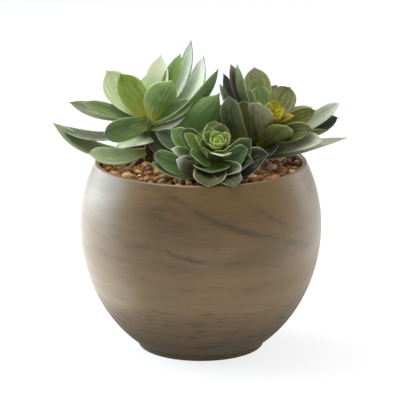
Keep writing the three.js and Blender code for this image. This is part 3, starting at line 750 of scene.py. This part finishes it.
def leaf_material(name, leaf, gloss=0.44, wax=0.2):
    """Fleshy leaf: its own tint with brushed streaks and a pale vein along it, soft mottling, a thin light rim, a
    faint waxy bloom, painted shade across the middle of the blade and a painted glow of light through its margins."""
    n = Nodes(name)
    tint = n.attribute("tint")
    blade = n.attribute("blade")
    parts = n.add("ShaderNodeSeparateXYZ")
    n.link(blade.outputs["Vector"], parts.inputs["Vector"])
    across = n.math("ABSOLUTE", parts.outputs["X"])
    along = blade.outputs["Vector"]
    streaks = n.noise(1.0, stretch=(4, 1.3, 3.1), detail=3, roughness=0.55, vector=along, distortion=0.8)
    brushed = n.noise(1.0, stretch=(17, 2.0, 5.3), detail=4, roughness=0.65, vector=along, distortion=0.4)
    clouds = n.noise(75, detail=3, roughness=0.6)
    mottle = n.noise(340, detail=3)
    dark_and_shade = n.mix(0.55, tint.outputs["Color"], LEAF_DARK_AND_SHADE)
    bright = n.mix(1.0, tint.outputs["Color"], LEAF_BRIGHTER, "MULTIPLY")
    bloom = n.mix(wax, bright, LEAF_BLOOM)
    depth = n.spread(tint.outputs["Fac"], 0.1, 0.6, 1.0, 0.15)
    # Painted shade across the middle of the blade, weaker on pale leaves.
    painted_core_shade = n.math("MULTIPLY", n.spread(across, 0.1, 0.7, 0.35, 0.0), depth)
    base = n.mix(painted_core_shade, tint.outputs["Color"], dark_and_shade)
    base = n.mix(n.math("MULTIPLY", n.spread(streaks, 0.47, 0.66, 0.0, 0.85), depth), base, dark_and_shade)
    brushed = n.math("MULTIPLY", n.spread(brushed, 0.45, 0.68, 0.0, 0.95), n.spread(clouds, 0.35, 0.6))
    base = n.mix(brushed, base, bloom)
    base = n.mix(n.math("MULTIPLY", n.spread(clouds, 0.5, 0.72, 0.0, 0.6), depth), base, dark_and_shade)
    base = n.mix(n.spread(mottle, 0.55, 0.8, 0.0, 0.3), base, dark_and_shade)
    vein = n.math("MULTIPLY", n.spread(across, 0.0, 0.16, 0.16, 0.0), n.spread(streaks, 0.4, 0.6))
    base = n.mix(vein, base, bloom)
    # Lighter margins: a painted glow of light through the thin edges of the blade, in the bloom colour.
    base = n.mix(n.spread(across, 0.62, 0.92, 0.0, 0.2), base, bloom)
    rim_tint = n.attribute("rim_tint")
    ragged = n.noise(420, detail=2)
    rim = n.math("DIVIDE", n.math("SUBTRACT", across, tint.outputs["Alpha"]), 0.06)
    rim = n.spread(rim, 0.0, 1.0)
    rim = n.math("MULTIPLY", rim, n.spread(ragged, 0.3, 0.6, 0.45, 1.0))
    rim = n.math("MULTIPLY", rim, rim_tint.outputs["Alpha"])
    base = n.mix(rim, base, rim_tint.outputs["Color"])
    normal = n.bump(streaks, 0.0007, 0.3)
    normal = n.bump(n.noise(1100, detail=2), 0.00012, 0.3, below=normal)
    rough = n.spread(mottle, 0.3, 0.7, gloss - 0.06, gloss + 0.1)
    return n.finish(
        base,
        rough,
        normal,
        Specular_IOR_Level=0.24,
        Subsurface_Weight=leaf.translucency,
        Subsurface_Radius=(0.7, 1.0, 0.25),
        Subsurface_Scale=0.002,
    )


def pebble_material():
    """Tumbled stone: each pebble's own colour, clouded and speckled, with a wet gloss."""
    n = Nodes("tumbled_pebbles")
    stone = n.attribute("stone")
    cloud = n.noise(320, detail=4, roughness=0.6)
    speck = n.noise(1500, detail=2)
    darker = n.mix(0.45, stone.outputs["Color"], PEBBLE_SHADE)
    lighter = n.mix(0.3, stone.outputs["Color"], PEBBLE_LIGHT)
    body = n.mix(n.spread(cloud, 0.42, 0.66), stone.outputs["Color"], darker)
    body = n.mix(n.spread(speck, 0.58, 0.72, 0.0, 0.6), body, lighter)
    normal = n.bump(cloud, 0.0003, 0.3)
    rough = n.spread(speck, 0.3, 0.7, 0.26, 0.44)
    return n.finish(body, rough, normal, Specular_IOR_Level=0.35)


def soil_material():
    """Dark, damp crumb of bark and peat."""
    n = Nodes("potting_mix_crumb")
    crumb = n.noise(420, detail=5, roughness=0.7)
    lumps = n.noise(120, detail=3)
    body = n.mix(n.spread(crumb, 0.35, 0.7), CRUMB_DARK, CRUMB_LIGHT)
    body = n.mix(n.spread(lumps, 0.5, 0.75, 0.0, 0.5), body, CRUMB_WET)
    normal = n.bump(crumb, 0.0012, 0.8)
    return n.finish(body, 0.95, normal)


# The pot


def pot_radius(z, pot):
    """The pot's outer radius at a height."""
    curve = UPPER_CURVE if z > BELLY_HEIGHT else LOWER_CURVE
    return pot.radius * math.sqrt(1 - ((z - BELLY_HEIGHT) / curve) ** 2)


def pot_profile(pot):
    """The pot's section from the middle of its underside, up the outside and down the inside, as (r, z)."""
    lip = pot.wall / 2
    lip_height = pot.height - lip
    lip_radius = pot_radius(lip_height, pot) - lip
    points = [(0, 0), (pot.foot_radius * 0.5, 0), (pot.foot_radius - FOOT_CHAMFER, 0)]
    points += [(pot.foot_radius, FOOT_CHAMFER), (pot.foot_radius, pot.foot_height * 0.5)]
    points += [(pot.foot_radius, pot.foot_height - FOOT_UNDERCUT)]
    for i in range(OUTSIDE_RINGS + 1):
        z = pot.foot_height + (lip_height - pot.foot_height) * (i / OUTSIDE_RINGS) ** RING_SPACING
        points.append((pot_radius(z, pot), z))
    for i in range(1, LIP_STEPS):
        angle = math.pi * i / LIP_STEPS
        points.append((lip_radius + lip * math.cos(angle), lip_height + lip * math.sin(angle)))
    for i in range(INSIDE_RINGS + 1):
        z = pot.floor + (lip_height - pot.floor) * (1 - i / INSIDE_RINGS) ** RING_SPACING
        points.append((pot_radius(z, pot) - pot.wall, z))
    points.append((0, pot.floor))
    return points


def spin_profile(points, steps, name):
    """Draw a section by extruding one point along it, and spin it into a closed shell."""
    deselect()
    bpy.ops.mesh.primitive_plane_add(size=0.01)
    shell = bpy.context.object
    bpy.ops.object.mode_set(mode="EDIT")
    bpy.ops.mesh.select_all(action="SELECT")
    bpy.ops.mesh.merge(type="CENTER")
    start = points[0]
    bpy.ops.transform.translate(value=(start[0], 0, start[1]))
    for (r0, z0), (r1, z1) in zip(points, points[1:]):
        bpy.ops.mesh.extrude_vertices_move(TRANSFORM_OT_translate={"value": (r1 - r0, 0, z1 - z0)})
    bpy.ops.mesh.select_all(action="SELECT")
    bpy.ops.mesh.spin(steps=steps, angle=2 * math.pi, center=(0, 0, 0), axis=(0, 0, 1))
    bpy.ops.mesh.select_all(action="SELECT")
    bpy.ops.mesh.remove_doubles(threshold=1e-5)
    bpy.ops.mesh.normals_make_consistent(inside=False)
    bpy.ops.object.mode_set(mode="OBJECT")
    return join([shell], name)


def distance_to_line(points, line):
    """Each point's distance to a line through corners, and how far along it that is, from 0 to 1."""
    best = np.full(len(points), np.inf)
    place = np.zeros(len(points))
    corners = np.array(line, float)
    for i, (a, b) in enumerate(zip(corners, corners[1:])):
        t = np.clip(((points - a) @ (b - a)) / float((b - a) @ (b - a)), 0, 1)
        far = np.linalg.norm(points - (a + t[:, None] * (b - a)), axis=1)
        nearer = far < best
        best[nearer] = far[nearer]
        place[nearer] = (i + t[nearer]) / (len(corners) - 1)
    return best, place


def front_streaks_and_shade(pot):
    """The drawn streaks and bands of painted shade, wrapped round the pot: x becomes the distance round it from the
    middle of its front.
    """
    lines = []
    for corners, width, strength in STREAKS_AND_PAINTED_SHADE:
        bent = []
        for x, z in corners:
            reach = pot_radius(z * MM, pot) / MM
            bent.append((math.asin(max(-0.98, min(0.98, x / reach))) * pot.radius / MM, z))
        lines.append((bent, width, strength))
    return lines


def more_streaks():
    """Streaks for the rest of the pot, each a few steps that wander downwards."""
    rng = random.Random(MORE_STREAKS["seed"])
    lines = []
    for i in range(MORE_STREAKS["count"]):
        x = MORE_STREAKS["start"] + MORE_STREAKS["span"] * (i + rng.random()) / MORE_STREAKS["count"]
        z = rng.uniform(MORE_STREAKS["lowest"], MORE_STREAKS["highest"])
        corners = []
        for _ in range(rng.randint(3, 6)):
            corners.append((x, z))
            x += rng.uniform(10, 19)
            z += rng.uniform(-8, 4)
        lines.append((corners, rng.uniform(0.7, 1.3), rng.uniform(0.35, 0.85)))
    return lines


def mark_streaks_and_shade(shell, pot):
    """Store how strongly the mineral streaks and the bands of painted shade show at each point of the pot. Each
    fades sideways and at its ends.
    """
    points = coordinates(shell.data) / MM
    angle = np.arctan2(points[:, 0], -points[:, 1])
    unrolled = np.stack([angle * pot.radius / MM, points[:, 2]], axis=1)
    amount = np.zeros(len(points))
    around = 2 * math.pi * pot.radius / MM
    for corners, width, strength in front_streaks_and_shade(pot) + more_streaks():
        for shift in (-around, 0, around):
            moved = [(x - shift, z) for x, z in corners]
            far, place = distance_to_line(unrolled, moved)
            taper = np.sin(np.pi * np.clip(0.08 + 0.84 * place, 0, 1)) ** 0.6
            sideways = 1 - smooth_step(0.2 * width, 1.6 * width, far)
            amount = np.maximum(amount, strength * taper * sideways)
    write_attribute(shell.data, "streak_and_shade", "FLOAT", amount)


def mark_painted_foot_shade(shell):
    """Store how much painted shade darkens the glaze at each point of the pot, which also sets where the hair lines,
    scratches and rougher glaze gather.
    """
    height = coordinates(shell.data)[:, 2] / MM
    shade = 1 - smooth_step(FOOT_SHADE["to"], FOOT_SHADE["from"], height)
    shade = np.where(height < FOOT_SHADE["underside"], FOOT_SHADE["underside_shade"], shade)
    write_attribute(shell.data, "foot", "FLOAT", shade)


class ECHEVERIA_OT_pot(bpy.types.Operator):
    """Spin the planter and glaze it"""

    bl_idname = "echeveria.pot"
    bl_label = "Pot"

    def execute(self, context):
        pot = settings().pot
        shell = spin_profile(pot_profile(pot), POT_STEPS, "planter")
        mark_streaks_and_shade(shell, pot)
        mark_painted_foot_shade(shell)
        give_to_frame(shell, ceramic_material(pot), "pot", "pot")
        return {"FINISHED"}


# What fills the pot


class ECHEVERIA_OT_potting_mix(bpy.types.Operator):
    """Give the potting mix its crumb"""

    bl_idname = "echeveria.potting_mix"
    bl_label = "Potting mix"

    def execute(self, context):
        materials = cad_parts["potting_mix"].data.materials
        materials.clear()
        materials.append(soil_material())
        return {"FINISHED"}


def bed_height(r, gravel, reach):
    """The height of the gravel's bed at a distance from the middle."""
    return gravel.surface + gravel.rise * (1 - min(1, r / reach) ** 3)


def model_pebbles():
    """Three tumbled pebbles of a unit's half length, each from a cube rounded and dented in edit mode."""
    shapes = []
    for seed, size in PEBBLE_SHAPES:
        deselect()
        bpy.ops.mesh.primitive_cube_add(size=1.6)
        shape = bpy.context.object
        bpy.ops.object.mode_set(mode="EDIT")
        bpy.ops.mesh.select_all(action="SELECT")
        bpy.ops.mesh.subdivide(number_cuts=1, smoothness=0)
        bpy.ops.transform.tosphere(value=0.85)
        bpy.ops.transform.vertex_random(offset=0.16, uniform=0.6, normal=0.4, seed=seed)
        bpy.ops.transform.resize(value=size)
        bpy.ops.object.mode_set(mode="OBJECT")
        shapes.append(shape)
    return shapes


def painted_shade_tone(place):
    """How light a pebble is under the painted shade: darkest in the middle of the shaded patch and full outside it.
    """
    x, y = PAINTED_PEBBLE_SHADE["middle"]
    away = math.hypot(place.x / MM - x, place.y / MM - y) / PAINTED_PEBBLE_SHADE["reach"]
    return PAINTED_PEBBLE_SHADE["tone"] + (1 - PAINTED_PEBBLE_SHADE["tone"]) * min(1, away) ** 2


def scatter_pebbles(shapes, gravel, reach):
    """Lay pebbles out as a sunflower's seeds are, each with its own size, turn and stone."""
    rng = random.Random(gravel.seed)
    stones = [linear(colour) for colour, _ in PEBBLES]
    common = [share for _, share in PEBBLES]
    lumps = []
    for i in range(gravel.count):
        shape = rng.choice(shapes)
        size = gravel.smallest + (gravel.largest - gravel.smallest) * rng.random() ** 1.4
        edge = reach - PEBBLE_FLATNESS * size
        r = edge * math.sqrt((i + 0.5) / gravel.count) + rng.uniform(-1, 1) * STRAY
        r = min(max(0, r), edge)
        heading = math.radians(i * GOLDEN_ANGLE + rng.uniform(-1, 1) * STRAY_ROUND)
        lift = bed_height(r, gravel, reach) + rng.uniform(0.2, 1.0) * size * PEBBLE_FLATNESS
        turn = Euler((rng.uniform(-0.5, 0.5), rng.uniform(-0.5, 0.5), rng.uniform(0, 2 * math.pi)))
        place = Vector((r * math.cos(heading), r * math.sin(heading), lift))
        lump = shape.copy()
        lump.data = shape.data.copy()
        matrix = Matrix.LocRotScale(place, turn, Vector((size, size, size)))
        lump.data.transform(matrix)
        # Each pebble's own random tone, darkened by the painted shade beside the front plant.
        tone = rng.uniform(0.9, 1.5) * painted_shade_tone(place)
        colour = rng.choices(stones, common)[0]
        shade = [c * tone for c in colour[:3]] + [1.0]
        write_attribute(lump.data, "stone", "FLOAT_COLOR", [shade] * len(lump.data.vertices))
        bpy.context.scene.collection.objects.link(lump)
        lumps.append(lump)
    return lumps


class ECHEVERIA_OT_gravel(bpy.types.Operator):
    """Lay the bed of grit and scatter pebbles over it"""

    bl_idname = "echeveria.gravel"
    bl_label = "Gravel"

    def execute(self, context):
        gravel, pot = settings().gravel, settings().pot
        reach = pot_radius(gravel.surface, pot) - pot.wall - CLEARANCE
        bottom = GRAVEL_LOW.z
        section = [(0, bottom), (pot_radius(bottom, pot) - pot.wall - CLEARANCE, bottom)]
        for i in range(BED_RINGS + 1):
            r = reach * (1 - i / BED_RINGS)
            section.append((r, bed_height(r, gravel, reach)))
        bed = spin_profile(section, BED_STEPS, "gravel_bed")
        give_to_frame(bed, soil_material(), "gravel", "gravel")
        shapes = model_pebbles()
        pebbles = join(scatter_pebbles(shapes, gravel, reach), "pebbles")
        for shape in shapes:
            bpy.data.objects.remove(shape)
        give_to_frame(pebbles, pebble_material(), "gravel", "gravel")
        return {"FINISHED"}


# Leaves


def model_blade(around, along):
    """One blade as a tube of unit radius and length, closed at both ends. Its rings stand closer together near the
    ends."""
    deselect()
    stations = [0.5 - 0.5 * math.cos(math.pi * i / (along + 1)) for i in range(1, along + 1)]
    bpy.ops.mesh.primitive_circle_add(
        vertices=around, radius=1, fill_type="TRIFAN", location=(0, 0, stations[0])
    )
    blade = bpy.context.object
    bpy.ops.object.transform_apply(location=True)
    bpy.ops.object.mode_set(mode="EDIT")
    bpy.ops.mesh.select_all(action="SELECT")
    for low, high in zip(stations, stations[1:]):
        bpy.ops.mesh.extrude_region_move(TRANSFORM_OT_translate={"value": (0, 0, high - low)})
    bpy.ops.object.mode_set(mode="OBJECT")
    points = coordinates(blade.data)
    pole = np.hypot(points[:, 0], points[:, 1]) < 0.5
    points[pole, 2] = np.where(points[pole, 2] < 0.5, 0.0, 1.0)
    place_points(blade.data, points)
    bpy.ops.object.mode_set(mode="EDIT")
    bpy.ops.mesh.select_all(action="SELECT")
    bpy.ops.mesh.remove_doubles(threshold=1e-6)
    bpy.ops.mesh.normals_make_consistent(inside=False)
    bpy.ops.object.mode_set(mode="OBJECT")
    blade.name = "blade"
    return blade


def outline(s, shape):
    """Half width along a leaf, from 0 at its root to 1 at its tip, which ends in a small hard nib."""
    neck, belly = shape["neck"], shape["belly"]
    rising = neck + (1 - neck) * np.sin(np.clip(s / belly, 0, 1) * math.pi / 2) ** 1.3
    t = np.clip((s - belly) / (1 - NIB_LENGTH - belly), 0, 1)
    falling = (1 - t ** shape["full"]) ** (0.5 + 0.5 * shape["point"])
    nib = NIB_WIDTH * np.clip((1 - s) / (2 * NIB_LENGTH), 0, 1)
    return np.where(s < belly, rising, np.maximum(falling, nib))


def bend_blade(flat, foot, tip, face, width, bend, shape, wave):
    """Carry the flat blade's points onto an arc from foot to tip, with the upper side facing one way."""
    u, v, s = flat[:, 0], flat[:, 1], flat[:, 2]
    chord = tip - foot
    ahead = unit(chord)
    upper = square_to(face, ahead)
    side = np.cross(upper, ahead)
    turn = math.radians(bend)
    length = np.linalg.norm(chord) * (turn / 2) / math.sin(turn / 2)
    angle = turn * (s - 0.5)
    run = length * (np.sin(angle) + math.sin(turn / 2)) / turn
    lift = length * (math.cos(turn / 2) - np.cos(angle)) / turn
    bow = 4 * shape["sweep"] * s * (1 - s)
    half = width / 2 * outline(s, shape)
    thick = shape["thick"] / 2 * np.sqrt(np.clip(1 - s**4, 0, 1)) * (1 - 0.3 * s) + THINNEST
    thick = np.minimum(half, thick)
    rib = np.clip(1 - np.abs(u) * RIB_SHARPNESS, 0, 1) ** 1.5
    body = v * thick * np.where(v > 0, 1 - GROOVE * rib, 1 + KEEL * rib)
    ripple = wave[0] * np.sin(2 * math.pi * (wave[1] * s) + wave[2]) * u * s
    rise = shape["cup"] * half * u**2 + body + ripple
    along = foot + run[:, None] * ahead + lift[:, None] * upper + bow[:, None] * side
    normal = np.cos(angle)[:, None] * upper - np.sin(angle)[:, None] * ahead
    return along + (u * half)[:, None] * side + rise[:, None] * normal


def paint_blade(mesh, flat, coat, tone, variation):
    """Store a leaf's tint, rim and place on the blade at each of its points."""
    outer, inner, root, tip, rim, rim_strength, rim_start = coat
    outer, inner, root, tip, rim = (np.array(linear(c)) for c in (outer, inner, root, tip, rim))
    u, v, s = flat[:, 0], flat[:, 1], flat[:, 2]
    # The inner face takes the inner colour, paler partly by the leaf's own colour and partly by painted light.
    upper = smooth_step(-0.25, 0.25, v)[:, None]
    colour = outer * (1 - upper) + inner * upper
    near = (0.85 * (1 - smooth_step(0.0, 0.42, s)))[:, None]
    colour = colour * (1 - near) + root * near
    far = smooth_step(0.72, 1.0, s)[:, None]
    colour = colour * (1 - far) + tip * far
    # The leaf's tone: its own lightness together with painted light and shade.
    colour[:, :3] *= tone
    colour[:, 3] = rim_start
    edge = np.tile(rim, (len(s), 1))
    edge[:, 3] = rim_strength * smooth_step(0.02, 0.3, s)
    write_attribute(mesh, "tint", "FLOAT_COLOR", colour)
    write_attribute(mesh, "rim_tint", "FLOAT_COLOR", edge)
    write_attribute(mesh, "blade", "FLOAT_VECTOR", np.stack([u, s, 0.2 * v + variation], axis=1))


def grow_leaf(blade, foot, tip, face, width, bend, shape, coat, rng):
    """A leaf of its own from the shared blade, sizes in millimetres."""
    leaf = blade.copy()
    leaf.data = blade.data.copy()
    flat = coordinates(leaf.data)
    wave = (rng.uniform(0.0, 0.35), rng.uniform(0.8, 1.6), rng.uniform(0, 6.28))
    points = bend_blade(flat, foot, tip, face, width, bend, shape, wave)
    place_points(leaf.data, points * MM)
    tone = shape.get("tone", 1.0) * rng.uniform(0.95, 1.05)
    paint_blade(leaf.data, flat, COATS[coat], tone, rng.uniform(0, 40))
    bpy.context.scene.collection.objects.link(leaf)
    return leaf


def growing_axis(plant):
    """The direction that a plant's stem leans in."""
    return direction(plant["lean_to"], 90 - plant["lean"])


def stem_leaf(blade, plant, row, rng):
    """One leaf of a plant, from its row in the table."""
    x, y, z, heading, elevation, width, bend, coat, extras = row
    shape = {**plant["usual"], **extras}
    axis = growing_axis(plant)
    tip = np.array([x, y, z], float)
    level = np.array(plant["crown"], float) - axis * shape["drop"]
    outward = square_to(tip - level, axis)
    foot = level + outward * shape["spread"]
    face = axis if heading is None else direction(heading, elevation)
    return grow_leaf(blade, foot, tip, face, width, bend, shape, coat, rng)


def stem_piece(plant, colour):
    """The short woody stem: a post that goes up through the gravel and leans to the crown, ringed by old leaf
    scars."""
    axis = growing_axis(plant)
    crown = np.array(plant["crown"], float)
    knee = crown - axis * (crown[2] - STEM["bend"]) / axis[2]
    start = np.array([knee[0], knee[1], STEM["bottom"]], float)
    below, above = STEM["rings_below"], STEM["rings_above"]
    path = [start + (knee - start) * i / below for i in range(below)]
    path += [knee + (crown - knee) * i / above for i in range(above + 1)]
    deselect()
    bpy.ops.mesh.primitive_circle_add(vertices=20, radius=STEM["radius"] * MM, fill_type="TRIFAN")
    stem = bpy.context.object
    bpy.ops.transform.translate(value=tuple(path[0] * MM))
    bpy.ops.object.transform_apply(location=True)
    bpy.ops.object.mode_set(mode="EDIT")
    bpy.ops.mesh.select_all(action="SELECT")
    for i, (a, b) in enumerate(zip(path, path[1:])):
        bpy.ops.mesh.extrude_region_move(TRANSFORM_OT_translate={"value": tuple((b - a) * MM)})
        swell = STEM["swell"] if i % 2 else 1 / STEM["swell"]
        bpy.ops.transform.resize(value=(swell, swell, 1), center_override=tuple(b * MM))
    bpy.ops.mesh.select_all(action="SELECT")
    bpy.ops.mesh.normals_make_consistent(inside=False)
    bpy.ops.object.mode_set(mode="OBJECT")
    mesh = stem.data
    height = coordinates(mesh)[:, 2] / MM
    green = smooth_step(crown[2] - STEM["turns_green"], crown[2] - STEM["all_green"], height)[:, None]
    bark = np.array(with_alpha(colour))
    colours = bark * (1 - green) + np.array(linear(STEM["green"])) * green
    colours[:, 3] = 0.95
    write_attribute(mesh, "tint", "FLOAT_COLOR", colours)
    write_attribute(mesh, "rim_tint", "FLOAT_COLOR", [NO_RIM] * len(height))
    write_attribute(mesh, "blade", "FLOAT_VECTOR", [(0, h * BARK_STREAKS, BARK_PATTERN) for h in height])
    return stem


class ECHEVERIA_OT_rosettes(bpy.types.Operator):
    """Grow the three rosettes on their stems"""

    bl_idname = "echeveria.rosettes"
    bl_label = "Rosettes"

    def execute(self, context):
        leaf = settings().leaf
        blade = model_blade(leaf.around, leaf.along)
        for index, plant in enumerate(PLANTS):
            rng = random.Random(ROSETTE_SEED + index)
            grown = [stem_leaf(blade, plant, row, rng) for row in plant["leaves"]]
            grown.append(stem_piece(plant, leaf.stem))
            rosette = join(grown, plant["name"] + "_rosette")
            material = leaf_material(plant["name"] + "_skin", leaf)
            slot = "leaves_" + plant["name"].split("_")[1]
            give_to_frame(rosette, material, slot, plant["name"])
        bpy.data.objects.remove(blade)
        return {"FINISHED"}


def heart_leaves(blade, heart, rng):
    """Young leaves set by the golden angle, from the small upright middle ones to the wider ones round them."""
    axis = unit(np.array(heart["axis"], float))
    base = np.array(heart["base"], float)
    first = square_to(np.array([1.0, 0.0, 0.0]), axis)
    second = np.cross(axis, first)
    leaves = []
    for i in range(heart["leaves"]):
        share = (i + 0.5) / heart["leaves"]
        angle = math.radians(i * GOLDEN_ANGLE)
        outward = first * math.cos(angle) + second * math.sin(angle)
        rise = math.radians(HEART_STEEPEST - HEART_OPENING * share)
        size = HEART_SMALLEST + (1 - HEART_SMALLEST) * share
        reach = heart["length"] * size
        foot = base + outward * (1 + heart["ring"] * share)
        tip = foot + outward * reach * math.cos(rise) + axis * reach * math.sin(rise)
        face = axis * 0.6 - outward * 0.8
        width = heart["width"] * size
        side = min(2, int(1.5 * (1 + share * math.cos(angle + 0.7))))
        coat = heart["coats"][side]
        shape = {**heart["usual"], "tone": 1 + heart["fade"] * (0.5 - share)}
        leaves.append(grow_leaf(blade, foot, tip, face, width, HEART_BEND, shape, coat, rng))
    return leaves


class ECHEVERIA_OT_hearts(bpy.types.Operator):
    """Fill the rosettes with their lighter young leaves"""

    bl_idname = "echeveria.hearts"
    bl_label = "Hearts"

    def execute(self, context):
        leaf = settings().leaf
        blade = model_blade(HEART_POINTS_AROUND, HEART_RINGS)
        for index, heart in enumerate(HEARTS):
            rng = random.Random(HEART_SEED + index)
            piece = join(heart_leaves(blade, heart, rng), heart["name"] + "_leaves")
            material = leaf_material(heart["name"] + "_skin", leaf, gloss=0.42, wax=0.08)
            give_to_frame(piece, material, heart["slot"], heart["name"])
        bpy.data.objects.remove(blade)
        return {"FINISHED"}


# The studio


def softbox(name, power, place, size, colour, target):
    """An area light at a place, turned to a target."""
    light = bpy.data.lights.new(name, "AREA")
    light.shape = "RECTANGLE"
    light.size, light.size_y = size
    light.energy = power
    light.color = colour
    lamp = bpy.data.objects.new(name, light)
    lamp.location = place
    lamp.rotation_euler = (Vector(target) - Vector(place)).to_track_quat("-Z", "Y").to_euler()
    bpy.context.scene.collection.objects.link(lamp)


def studio_world(stage):
    """Soft surroundings: white paper behind the object, and a dimmer room on the viewer's side of it."""
    world = bpy.data.worlds.new("studio")
    world.use_nodes = True
    tree = world.node_tree
    place = tree.nodes.new("ShaderNodeTexCoord")
    parts = tree.nodes.new("ShaderNodeSeparateXYZ")
    shade = tree.nodes.new("ShaderNodeMapRange")
    shade.interpolation_type = "SMOOTHSTEP"
    shade.inputs["From Min"].default_value = ROOM_ENDS
    shade.inputs["From Max"].default_value = PAPER_STARTS
    shade.inputs["To Min"].default_value = stage.front
    shade.inputs["To Max"].default_value = stage.back
    tree.links.new(place.outputs["Generated"], parts.inputs["Vector"])
    tree.links.new(parts.outputs["Y"], shade.inputs["Value"])
    tree.links.new(shade.outputs["Result"], tree.nodes["Background"].inputs["Strength"])
    tree.nodes["Background"].inputs["Color"].default_value = (1, 1, 1, 1)
    return world


def lay_floor(stage):
    """A wide pale table that glows as if lit from below."""
    deselect()
    bpy.ops.mesh.primitive_plane_add(size=TABLE_SIZE, location=(0, 0, TABLE_HEIGHT))
    floor = bpy.context.object
    floor.name = "floor"
    n = Nodes("pale_floor")
    n.shader.inputs["Base Color"].default_value = with_alpha(stage.floor)
    n.shader.inputs["Roughness"].default_value = 0.9
    n.shader.inputs["Specular IOR Level"].default_value = 0.1
    n.shader.inputs["Sheen Weight"].default_value = 1.0
    n.shader.inputs["Sheen Roughness"].default_value = 0.35
    n.shader.inputs["Emission Color"].default_value = (1, 1, 1, 1)
    n.shader.inputs["Emission Strength"].default_value = stage.glow
    floor.data.materials.append(n.material)


def place_camera():
    """The camera, at the photograph's viewing angle."""
    camera_data = bpy.data.cameras.new("camera")
    camera_data.lens = CAMERA["lens"]
    camera_data.sensor_width = CAMERA["sensor"]
    camera_data.clip_end = CAMERA["sees"]
    camera = bpy.data.objects.new("camera", camera_data)
    camera.location = CAMERA["place"]
    camera.rotation_euler = (math.radians(90 - CAMERA["down"]), 0, 0)
    bpy.context.scene.collection.objects.link(camera)
    bpy.context.scene.camera = camera


class ECHEVERIA_OT_stage(bpy.types.Operator):
    """Set up the floor, the lights and the camera"""

    bl_idname = "echeveria.stage"
    bl_label = "Stage"

    def execute(self, context):
        stage = settings().stage
        lay_floor(stage)
        context.scene.world = studio_world(stage)
        for name, setting, share, *where in SOFTBOXES:
            softbox(name, share * getattr(stage, setting), *where)
        place_camera()
        context.scene.view_settings.view_transform = "Standard"
        return {"FINISHED"}


# Add-on


class EcheveriaSettings(bpy.types.PropertyGroup):
    """All settings of the potted echeveria."""

    pot: bpy.props.PointerProperty(type=PotSettings)
    gravel: bpy.props.PointerProperty(type=GravelSettings)
    leaf: bpy.props.PointerProperty(type=LeafSettings)
    stage: bpy.props.PointerProperty(type=StageSettings)


class ECHEVERIA_PT_panel(bpy.types.Panel):
    """Lists the pieces of the potted echeveria"""

    bl_label = "Potted Echeveria"
    bl_idname = "ECHEVERIA_PT_panel"
    bl_space_type = "VIEW_3D"
    bl_region_type = "UI"
    bl_category = "Echeveria"

    def draw(self, context):
        for name in ("pot", "potting_mix", "gravel", "rosettes", "hearts", "stage"):
            self.layout.operator("echeveria." + name)
        for group in ("pot", "gravel", "leaf", "stage"):
            box = self.layout.box()
            values = getattr(context.scene.potted_echeveria, group)
            for key in values.__annotations__:
                box.prop(values, key)


CLASSES = (
    PotSettings,
    GravelSettings,
    LeafSettings,
    StageSettings,
    EcheveriaSettings,
    ECHEVERIA_OT_pot,
    ECHEVERIA_OT_potting_mix,
    ECHEVERIA_OT_gravel,
    ECHEVERIA_OT_rosettes,
    ECHEVERIA_OT_hearts,
    ECHEVERIA_OT_stage,
    ECHEVERIA_PT_panel,
)


def register():
    """Register the classes and hang the settings on the scene."""
    for cls in CLASSES:
        bpy.utils.register_class(cls)
    bpy.types.Scene.potted_echeveria = bpy.props.PointerProperty(type=EcheveriaSettings)


def unregister():
    """Take the settings and the classes away again."""
    del bpy.types.Scene.potted_echeveria
    for cls in reversed(CLASSES):
        bpy.utils.unregister_class(cls)


def main():
    """Make the stage and every piece in turn."""
    register()
    bpy.ops.echeveria.stage()
    bpy.ops.echeveria.pot()
    bpy.ops.echeveria.potting_mix()
    bpy.ops.echeveria.gravel()
    bpy.ops.echeveria.rosettes()
    bpy.ops.echeveria.hearts()


if __name__ == "__main__":
    main()
